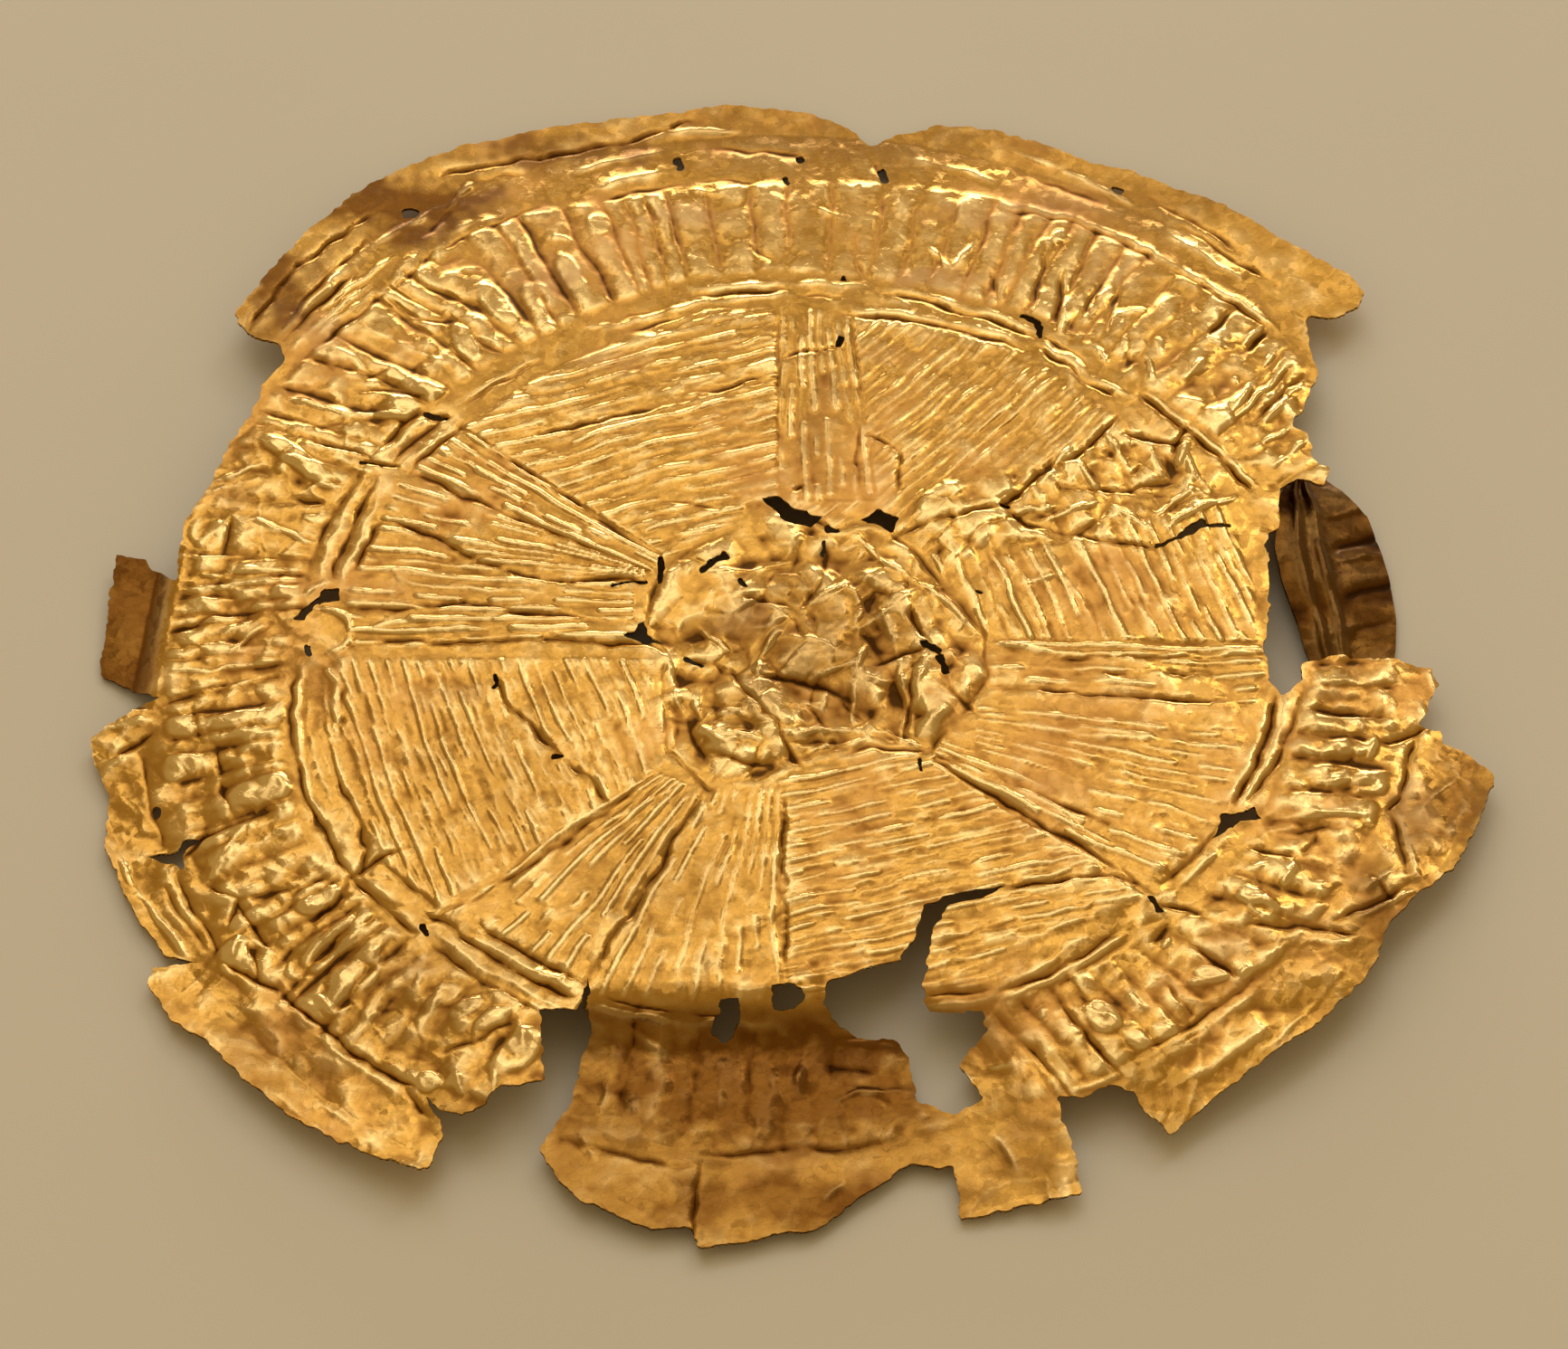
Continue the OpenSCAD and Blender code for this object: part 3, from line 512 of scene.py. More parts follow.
def fan_of_ribs(x, y, fan, seed):
    """Ribs between two guides: the distance from the first guide, divided by the distance between
    both, counts the ribs. Facets drawn out along the ribs make them uneven. Returns the relief and
    the share of the fan at each place."""
    x1, y1, x2, y2, x3, y3, x4, y4, ribs, height = fan
    turn = 1 if beside(x3, y3, x1, y1, x2, y2) > 0 else -1
    a, b = turn * beside(x, y, x1, y1, x2, y2), -turn * beside(x, y, x3, y3, x4, y4)
    out = ((x - x1) * (x2 - x1) + (y - y1) * (y2 - y1)) / math.hypot(x2 - x1, y2 - y1)
    share = smooth(np.minimum(a, b) / 0.2 + 0.5) * (out > 0)
    count = a / (np.abs(a + b) + 0.01) * ribs
    count = count + 0.35 * waves(x * 0.22, y * 0.22, seed) + 0.16 * facets(x, y, 1.6, seed + 1)
    row = np.floor(count)
    comes = waves(out / 1.5 + 7 * scattered(row, 0, seed), row, seed + 2)
    uneven = smooth((comes + 0.45) / 0.3) * (0.7 + 0.7 * scattered(row, 1, seed))
    width = np.abs(a + b) / ribs
    rise, fall = np.clip(RIB_RISE / width, 0.1, 0.4), np.clip(RIB_FALL / width, 0.1, 0.45)
    pressed = 0.9 * pressed_lines(count, rise, fall) + 0.2 * folded_ridges(count, seed)
    drawn_out = 0.4 * facets(count * 0.7, out / 1.8, 1, seed + 3)
    fine = 0.2 * folded_ridges(count * 2.3 + 0.4 * waves(x * 0.3, y * 0.3, seed + 4), seed + 5)
    return height * (uneven * pressed + drawn_out + fine * uneven) * share, share


def all_fans(x, y):
    """The relief of all fans, and how much of each place they cover. Where two meet, the one that
    covers more of the place counts."""
    relief, cover = np.zeros_like(x), np.zeros_like(x)
    for number, fan in enumerate(FANS):
        ribs, share = fan_of_ribs(x, y, fan, 200 + 10 * number)
        relief = np.where(share > cover, ribs, relief)
        cover = np.maximum(cover, share)
    return relief, cover


fans, fan_cover = all_fans(X, Y)
FAN_RELIEF = fans * IN_FIELDS
print("Fans:", len(FANS))

# %% [markdown]
# Between the arms the fields are hatched with short strokes of a blunt tool. Each stroke is a narrow
# ridge with two flat sides, and the foil between two rows stays nearly level. Each row is broken
# into strokes of uneven length and height, and fainter rows run a few degrees off them.
# %% Hatched fields
# angle from, angle to, direction of the strokes, distance between rows, height, length of a stroke
FIELDS = [
    [91, 140, 18, 0.76, 0.085, 1.4],
    [42, 89, 47, 0.58, 0.05, 1.8],
    [2, 42, -71, 0.8, 0.095, 2.6],
    [-92, -32, 14, 0.7, 0.08, 1.4],
    [180, 228, -72, 0.72, 0.068, 1.6],
]
# turn in degrees, distance between rows as a multiple, part of the height
STROKE_SETS = [[0, 1, 1], [5, 1.45, 0.35], [-4, 0.6, 0.2]]
# Shares of the distance between two rows over which a stroke rises and falls
STROKE_RISE, STROKE_FALL = 0.22, 0.2


def strokes(x, y, angle, field, seed):
    """Rows of strokes: pressed lines across one direction, and fainter ones a few degrees off it.
    Long waves and facets bend the rows. Waves that run along each row, cut off smoothly, make its
    strokes come and go."""
    start, end, direction, pitch, height, length = field
    middle, half = (start + end) / 2, (end - start) / 2
    within = smooth((half - np.abs((angle - middle + 180) % 360 - 180)) / 1.5 + 0.5)
    relief = np.zeros_like(x)
    for number, (turn, wider, part) in enumerate(STROKE_SETS):
        along_x = math.cos(math.radians(direction + turn))
        along_y = math.sin(math.radians(direction + turn))
        forward, across = x * along_x + y * along_y, y * along_x - x * along_y
        across = across + 0.2 * waves(x * 0.2, y * 0.2, seed + number)
        across = across + 0.12 * facets(x, y, 1.4, seed + 2 + number)
        row = across / (pitch * wider)
        from_start = forward / length + 7 * scattered(np.floor(row), number, seed)
        comes = waves(from_start, np.floor(row), seed + 4)
        uneven = smooth((comes + 0.5) / 0.3) * (0.95 + 0.5 * comes)
        relief += part * uneven * pressed_lines(row, STROKE_RISE / wider, STROKE_FALL / wider)
        relief += 0.5 * part * folded_ridges(row + 0.5, seed + number)
    return within * height * relief


HATCHING = sum(strokes(X, Y, ANGLE, field, 300 + 10 * k) for k, field in enumerate(FIELDS))
HATCHING = HATCHING * (1 - fan_cover) * IN_FIELDS
print("Hatched fields:", len(FIELDS), "with", len(STROKE_SETS), "sets of rows in each")

# %% [markdown]
# Outside the ring comes the border of long leaves, raised from behind. Each leaf lies between two
# narrow valleys, and both ends of every valley were read from the sheet: its angle at the ring and
# its angle at the crease. Between them a leaf rises over a short flank to a low top that is folded
# once, with a few flat facets drawn out along it.
# %% Border leaves
# angle of a valley at the ring, at the crease, height of the leaf that follows
VALLEYS = [
    [20, 21, 0.06], [24, 25, 0.08], [28, 30, 0.08], [32, 34.6, 0.1], [36, 38.4, 0.08],
    [40.5, 41.4, 0.1], [44, 44.6, 0.11], [47, 48.5, 0.1], [50, 51.4, 0.1], [53.5, 54.6, 0.11],
    [55.4, 57, 0.13], [57.6, 60.6, 0.16], [61, 62.8, 0.13], [64, 64.6, 0.1], [66, 67.4, 0.12],
    [69, 70, 0.12], [73, 73.4, 0.11], [76.4, 76.8, 0.12], [80, 80.2, 0.11], [85, 85.4, 0.11],
    [89.5, 89.8, 0.12], [93, 93.2, 0.13], [97, 97.4, 0.14], [101.1, 101.3, 0.15],
    [103.5, 103.4, 0.12], [105.4, 105.6, 0.12], [107, 107.8, 0.16], [110.4, 111.4, 0.2],
    [114.6, 115.6, 0.16], [117.6, 117.8, 0.16], [120.8, 121, 0.18], [123.2, 127.4, 0.2],
    [125.3, 130.4, 0.16], [129.6, 131.6, 0.2], [133.8, 137.6, 0.22], [136.8, 141.2, 0.22],
    [140.6, 146, 0.2], [146, 148.6, 0.09], [148.4, 150.2, 0.11], [150.2, 153.8, 0.1],
    [153, 156.5, 0.05], [156.6, 159.8, 0.05], [159.6, 161.4, 0.04], [162.2, 163.4, 0.06],
    [164.3, 167.8, 0.09], [167, 169.6, 0.09], [168.4, 171, 0.09], [171, 171.9, 0.14],
    [172.3, 176.8, 0.08], [175.2, 179, 0.08], [177.6, 180.4, 0.07], [180, 181.9, 0.09],
    [181.6, 185, 0.1], [185.9, 186.5, 0.18], [189, 189.8, 0.08], [191.2, 191.4, 0.2],
    [194.6, 194.4, 0.1], [196, 196.4, 0.18], [199.8, 200.6, 0.12], [202.4, 203.2, 0.11],
    [205.6, 206.4, 0.11], [209.4, 210.4, 0.1], [211.8, 212.4, 0.13], [214.2, 215, 0.08],
    [215.8, 217.3, 0.18], [218.2, 220.4, 0.08], [219.8, 221.6, 0.19], [223, 225.9, 0.1],
    [225.1, 227.2, 0.1], [226.8, 229.2, 0.06], [229.8, 232, 0.05], [233, 234.5, 0.05],
    [236, 237, 0.05], [239.3, 240.2, 0.14], [244.4, 245, 0.05], [249, 253, 0.05],
    [252.5, 257, 0.06], [256, 260.5, 0.05], [260.5, 264, 0.06], [265, 267.5, 0.05],
    [268.5, 270.4, 0.06], [272, 273.5, 0.05], [276, 277, 0.05], [280, 280.8, 0.05],
    [284, 284.5, 0.06], [291.5, 291.8, 0.06], [295.2, 296, 0.11], [298.9, 299.7, 0.1],
    [302.4, 302.6, 0.08], [305, 304.8, 0.11], [307.8, 307.4, 0.08], [311, 310.4, 0.1],
    [314.6, 314.4, 0.11], [318.4, 318.4, 0.1], [321.5, 322.8, 0.09], [324, 327.6, 0.14],
    [328.6, 330.5, 0.11], [332.8, 334.2, 0.08], [336.6, 339.8, 0.13], [341, 343.4, 0.13],
    [346, 347.2, 0.11], [349.6, 350.4, 0.11], [353, 353.4, 0.12], [356.4, 356.8, 0.11],
    [359.8, 360, 0.08], [364, 364, 0.08], [368, 368, 0.08], [372, 372, 0.08], [376, 376, 0.08],
    [380, 381, 0.06],
]
# Width of the flank at each side of a leaf, and the part of the table's heights that is used
FLANK, LEAF_PART = 0.42, 0.9


def leaves(x, y, angle, ring_away, crease_away):
    """Leaves between the valleys. A place's angle, less the valleys' lean times the share of the
    way from ring to crease, is looked up in the ring angles, and three rounds settle the lean. Each
    leaf rises over a short flank to a top that is folded once, with facets drawn out along it."""
    at_ring, at_crease, heights = np.array(VALLEYS).T
    index = np.arange(len(at_ring))
    share = np.clip(ring_away / (ring_away - crease_away + 0.01), 0, 1)
    angle = np.where(angle < at_ring[0], angle + 360, angle)
    angle = angle + 0.4 * waves(x * 0.5, y * 0.5, 21) + 0.25 * facets(x, y, 1.3, 22)
    count = np.interp(angle, (at_ring + at_crease) / 2, index)
    for _ in range(3):
        lean = np.interp(count, index, at_crease - at_ring)
        count = np.interp(angle - share * lean, at_ring, index)
    leaf = np.clip(np.floor(count), 0, len(index) - 2).astype(int)
    width = np.diff(at_ring)[leaf] * np.radians(1) * np.hypot(x, y)
    from_valley = np.minimum(count - leaf, 1 - (count - leaf)) * width
    flank = smooth(from_valley / FLANK)
    comes = 0.75 + 0.25 * waves(share * 2.2 + 5 * scattered(leaf, 1, 23), leaf, 24)
    top = 0.26 * folded_ridges(count, 26) + 0.42 * np.sin(np.pi * (count - leaf))
    drawn_out = 0.26 * facets(count, ring_away / 2, 1, 25) + 0.1 * facets(count * 1.6, ring_away, 1, 27)
    valley = 0.18 * np.exp(-from_valley / 0.12)
    return LEAF_PART * heights[leaf] * (comes * (0.32 * flank + top - valley) + drawn_out)


LEAVES = leaves(X, Y, ANGLE, ring_away, crease_away) * IN_BORDER
print("Leaves:", len(VALLEYS) - 1)

# %% [markdown]
# Some leaves have kept the lens shape that the hammer gave them, with a wall all round and often a
# middle that has sunk again. They lie on top of the border, each in its own small part of the grid.
# %% Leaves that kept their shape
# angle, radius, half length, half width, turn from the radius in degrees, height, sunk middle
LENSES = [
    [223.3, 25.3, 2, 0.95, 12, 0.2, 0.1], [218.8, 25, 2.4, 0.75, 10, 0.24, 0.9],
    [212.8, 24.2, 1.3, 0.85, 0, 0.2, 0.1], [345, 25.2, 2, 0.8, 16, 0.16, 0.1],
    [341.2, 25.3, 2.2, 0.8, 14, 0.15, 0.2], [349, 25.5, 0.9, 0.6, 0, 0.16, 0],
    [326.6, 24.7, 1.3, 0.7, -14, 0.24, 0.1], [317, 25.3, 0.9, 0.5, 40, 0.2, 0],
    [305, 23.9, 1.1, 0.8, 0, 0.2, 0], [242, 24.2, 1.6, 0.9, -8, 0.2, 0],
    [236.6, 27.6, 0.6, 0.6, 0, 0.2, 0], [214.6, 28.8, 1.3, 0.9, 50, 0.2, 0],
    [164.4, 26.7, 1.1, 1.2, 0, 0.14, 0], [197.8, 24, 1.6, 0.9, 0, 0.16, 0.2],
    [188.6, 24.6, 2.6, 0.9, 4, 0.16, 0.3], [192.8, 27.2, 1, 0.9, 0, 0.16, 0.3],
    [152.6, 24.6, 2.4, 0.6, -14, 0.2, 0], [139.4, 26.2, 1.4, 0.7, 0, 0.16, 0],
    [128.4, 23.4, 1.6, 0.6, -14, 0.16, 0], [118.2, 23.8, 1.2, 0.9, 0, 0.14, 0],
    [113.6, 24.2, 2, 0.6, 0, 0.14, 0], [122.4, 24.4, 1.8, 0.7, 0, 0.14, 0.4],
    [108.4, 26.8, 0.8, 0.7, 0, 0.14, 0], [62.6, 27.8, 0.5, 0.5, 0, 0.16, 0],
    [231.4, 23.6, 1.1, 0.6, -24, 0.14, 0], [234.4, 23.5, 1, 0.5, -24, 0.14, 0],
    [237.6, 23.4, 1, 0.5, -24, 0.12, 0],
]
# Part of the table's heights that is used
LENS_PART = 0.5


def from_middle(angle, radius):
    """Plan x and y of a place, from its angle in degrees and its distance from the middle."""
    return radius * math.cos(math.radians(angle)), radius * math.sin(math.radians(angle))


def grid_part(x1, y1, x2, y2, margin):
    """Rows and columns of the grid round two places, with a margin on every side."""
    columns = slice(*np.searchsorted(GRID_X, [min(x1, x2) - margin, max(x1, x2) + margin]))
    rows = slice(*np.searchsorted(GRID_Y, [min(y1, y2) - margin, max(y1, y2) + margin]))
    return rows, columns


def add_lens(relief, angle, radius, half_length, half_width, turn, height, sunk):
    """Adds one leaf that has kept its lens shape: a wall that rises over the outer third, and a
    middle that sinks again by a part of the height."""
    middle_x, middle_y = from_middle(angle, radius)
    part = grid_part(middle_x, middle_y, middle_x, middle_y, half_length + PITCH)
    x, y = X[part] - middle_x, Y[part] - middle_y
    way_x, way_y = from_middle(angle + turn, 1)
    along, across = (x * way_x + y * way_y) / half_length, (y * way_x - x * way_y) / half_width
    away = np.hypot(along, across) + 0.1 * waves(x * 1.4 + angle, y * 1.4, 28)
    shape = smooth((1 - away) / 0.4) - sunk * smooth((0.7 - away) / 0.4) + 0.25 * (1 - away ** 2)
    relief[part] += LENS_PART * height * np.where(away < 1, shape, 0)


for lens in LENSES:
    add_lens(LEAVES, *lens)
print("Leaves that kept their shape:", len(LENSES))

# %% [markdown]
# The folds are what makes this ornament this one: they were read from the sheet one by one. Each
# row is a line that may bow to one side, with a sharp crest, or a valley where the height is less
# than 0. First come those in the core and in the fields.
# %% Folds inside the ring
# x, y of one end, x, y of the other, bow to the left of that way, reach to each side, height
CORE_FOLDS = [
    [-4.3, 0, -2.3, -0.5, 0.1, 0.2, -0.28], [-2.3, -0.5, -0.3, -3.6, -0.2, 0.2, -0.3],
    [-1.3, -0.9, 3.1, -2.2, 0.35, 0.2, -0.34], [-1.2, -1, -0.2, 1.6, 0.15, 0.22, 0.4],
    [0.2, -4.2, 3.4, -3.9, 0.1, 0.16, 0.36], [0.3, -4.6, 2.6, -4.6, 0, 0.2, -0.2],
    [3.3, -4, 3.3, -1, 0.2, 0.2, 0.36], [3.3, -1, 3.6, 0.8, 0.1, 0.2, 0.3],
    [0.9, 2.8, 3.2, 4.6, 0.2, 0.2, 0.24], [1.9, 6.7, 1.8, 5.1, 0, 0.16, -0.3],
    [1.8, 5.1, 0.7, 2.9, 0.2, 0.2, -0.25], [-2, 3.5, 0.6, 2.7, 0.2, 0.2, -0.25],
    [5.3, 4.8, 6.6, 0.6, -0.25, 0.22, -0.4], [2.8, 4.4, 3, 1.5, 0.5, 0.2, 0.24],
    [4.1, -0.4, 6.4, 0.6, 0.1, 0.18, -0.3], [5, 0, 5.2, -4.6, 0.2, 0.18, 0.34],
    [5.6, 0.2, 5.3, -4.5, 0.1, 0.16, -0.3], [6.3, 0, 5.7, -4, -0.2, 0.18, 0.3],
    [-4.3, -3.2, -3.4, -5.6, 0, 0.2, -0.24], [-3.8, -1.6, -3.9, -4, 0.1, 0.2, 0.26],
    [-3.2, -5.2, -0.6, -5.8, -0.1, 0.2, -0.3], [-2.6, -4.2, -0.9, -4.7, 0.15, 0.2, 0.28],
    [-0.4, -3.4, 0.8, -5.9, -0.2, 0.18, -0.34], [-5.2, 0.5, -4.3, -3, -0.1, 0.18, 0.3],
    [-3.7, 1.9, -2.2, 0.4, 0, 0.2, 0.26], [3.3, 7, 5.6, 4.6, -0.1, 0.18, 0.3],
    [5.6, 4.6, 8.6, 1.5, 0.15, 0.18, 0.34], [-3.5, 5, 0.5, 5.8, -0.3, 0.2, 0.22],
    [0.6, 1.2, 2.4, 0.2, 0.2, 0.22, 0.24], [1.4, -0.8, 3.2, -0.2, 0, 0.18, 0.26],
    [-2.6, 2.4, -1, 3.6, 0, 0.2, 0.2], [4.2, 3, 5, 1.2, 0, 0.2, 0.22],
    [-3.2, -3, -1.6, -3.2, 0.2, 0.2, 0.24], [7.2, -1.4, 8.4, -3, 0, 0.2, -0.24],
    [4.4, -3.9, 6.2, -5, 0, 0.16, 0.3], [0.9, -5.2, 3.6, -4.5, 0.1, 0.16, 0.26],
]
FIELD_FOLDS = [
    [-14.8, 13.5, -5.7, 5.8, 0, 0.2, -0.26], [-17.4, 11.1, -6, 5.1, -0.2, 0.2, -0.28],
    [-15.6, 12.2, -9.5, 7.4, 0, 0.2, 0.2], [-11, 12.8, -5.2, 14.6, 0, 0.2, -0.3],
    [-5.2, 14.6, -0.4, 16.3, 0.1, 0.2, -0.22], [-0.2, 9.4, -0.1, 20, 0.2, 0.15, -0.1],
    [3.2, 9.4, 3.1, 19.8, -0.3, 0.15, -0.14], [0, 17.4, 2.8, 17.9, 0.1, 0.15, -0.2],
    [4.8, 6.8, 7.6, 8, 0.1, 0.2, -0.3], [7.6, 8, 9.8, 8.7, 0, 0.2, -0.3],
    [9.8, 8.8, 11.5, 10.6, -0.1, 0.2, -0.36], [11.5, 10.6, 15, 13.9, -0.4, 0.22, -0.34],
    [9.9, 8.6, 13, 7.2, -0.3, 0.18, -0.3], [13, 7.2, 16.6, 6.4, -0.2, 0.2, -0.32],
    [12.4, 9.8, 15.2, 9.6, 0, 0.18, -0.3], [15.2, 9.6, 17.6, 10.1, 0.2, 0.18, -0.3],
    [16.6, 8.2, 18.6, 9.8, 0.1, 0.2, 0.42], [17.2, 7.4, 20.2, 9.3, 0.2, 0.2, 0.34],
    [11.6, 10, 13, 12.4, 0, 0.22, 0.34], [13.2, 11.2, 14.4, 9.2, 0, 0.2, 0.32],
    [14.6, 12.6, 15.8, 10.4, 0, 0.2, 0.36], [16.4, 12.4, 17.2, 10.4, 0, 0.2, 0.36],
    [18, 11.8, 18.8, 9.6, 0, 0.18, 0.3], [15.4, 12.9, 18.2, 12.6, -0.2, 0.16, -0.4],
    [10.4, 8.4, 12.2, 8.9, 0, 0.2, 0.28], [11.4, 7.9, 14, 8.9, 0, 0.2, 0.28],
    [14.6, 8.8, 16.4, 7.4, 0, 0.2, 0.3], [9, 1, 13, 0.35, -0.1, 0.2, 0.3],
    [13, 0.35, 21.5, 0.5, -0.2, 0.18, 0.34], [12, 0.1, 18, 0.15, 0, 0.16, -0.3],
    [13, -0.8, 19.2, -0.9, 0.1, 0.14, -0.24], [9.2, -1.6, 20.4, -2.4, 0, 0.16, -0.3],
    [9.5, -3.4, 16.5, -4.4, -0.1, 0.2, 0.16], [6, -5, 14.2, -9, 0, 0.18, -0.26],
    [6.5, -5.6, 16.2, -12.8, 0, 0.18, -0.28], [6.3, -5.2, 15.2, -10.8, 0, 0.2, 0.22],
    [-3.6, -7.3, -8.5, -17.6, 0.1, 0.18, -0.28], [0, -7, 0.1, -17.5, 0, 0.16, -0.28],
    [-5.6, -6.4, -15.5, -14.6, 0.3, 0.18, -0.2], [-12.7, -1.2, -12.3, -2.4, 0, 0.16, -0.2],
    [-12.3, -2.4, -9.8, -5.4, 0.1, 0.2, -0.26], [-9.8, -5.4, -7.6, -8, 0.1, 0.2, -0.2],
    [-5.8, 1, -10.5, 1.1, 0.1, 0.2, -0.34], [-10.5, 1.1, -19.4, 0.8, -0.15, 0.18, -0.34],
    [-6.5, 2.2, -10.4, 2.5, 0, 0.18, -0.3], [-10.4, 2.5, -14.2, 3.3, 0.1, 0.18, -0.3],
    [-14.2, 3.3, -19.3, 2.9, 0.1, 0.2, -0.34], [-6.4, 4.4, -9.4, 4.4, -0.15, 0.18, -0.34],
    [-9.4, 4.4, -13.6, 5.6, 0.2, 0.18, -0.32], [-13.6, 5.6, -17.6, 8, -0.2, 0.16, -0.3],
    [-10.8, 3.8, -15.6, 4.2, 0, 0.2, 0.2], [-15, 2.2, -18.6, 1.8, -0.2, 0.2, 0.24],
    [9.6, -12.6, 12.9, -12, 0, 0.18, -0.3], [12.9, -12, 15.8, -12.5, 0.2, 0.18, -0.3],
    [-20.8, 2.8, -19.2, 1.4, 0.55, 0.2, 0.4], [-19.2, 1.4, -20.2, 0.3, 0.2, 0.18, 0.3],
    [-21.3, 3.6, -20.3, 4.4, 0, 0.2, 0.34], [-5.4, 9, -2.4, 8.2, 0.2, 0.15, -0.2],
    [3.7, 12.8, 5.2, 11.8, 0.1, 0.15, -0.2], [5.3, 12, 5.2, 9.6, 0, 0.16, -0.18],
    [-8.6, -10, -4.6, -7.2, 0.2, 0.2, 0.14], [0.3, 9.6, 0.9, 9.9, 0, 0.15, -0.25],
    [10.6, 4.2, 12.2, 4.8, 0, 0.2, 0.16],
]
print("Folds inside the ring:", len(CORE_FOLDS) + len(FIELD_FOLDS))

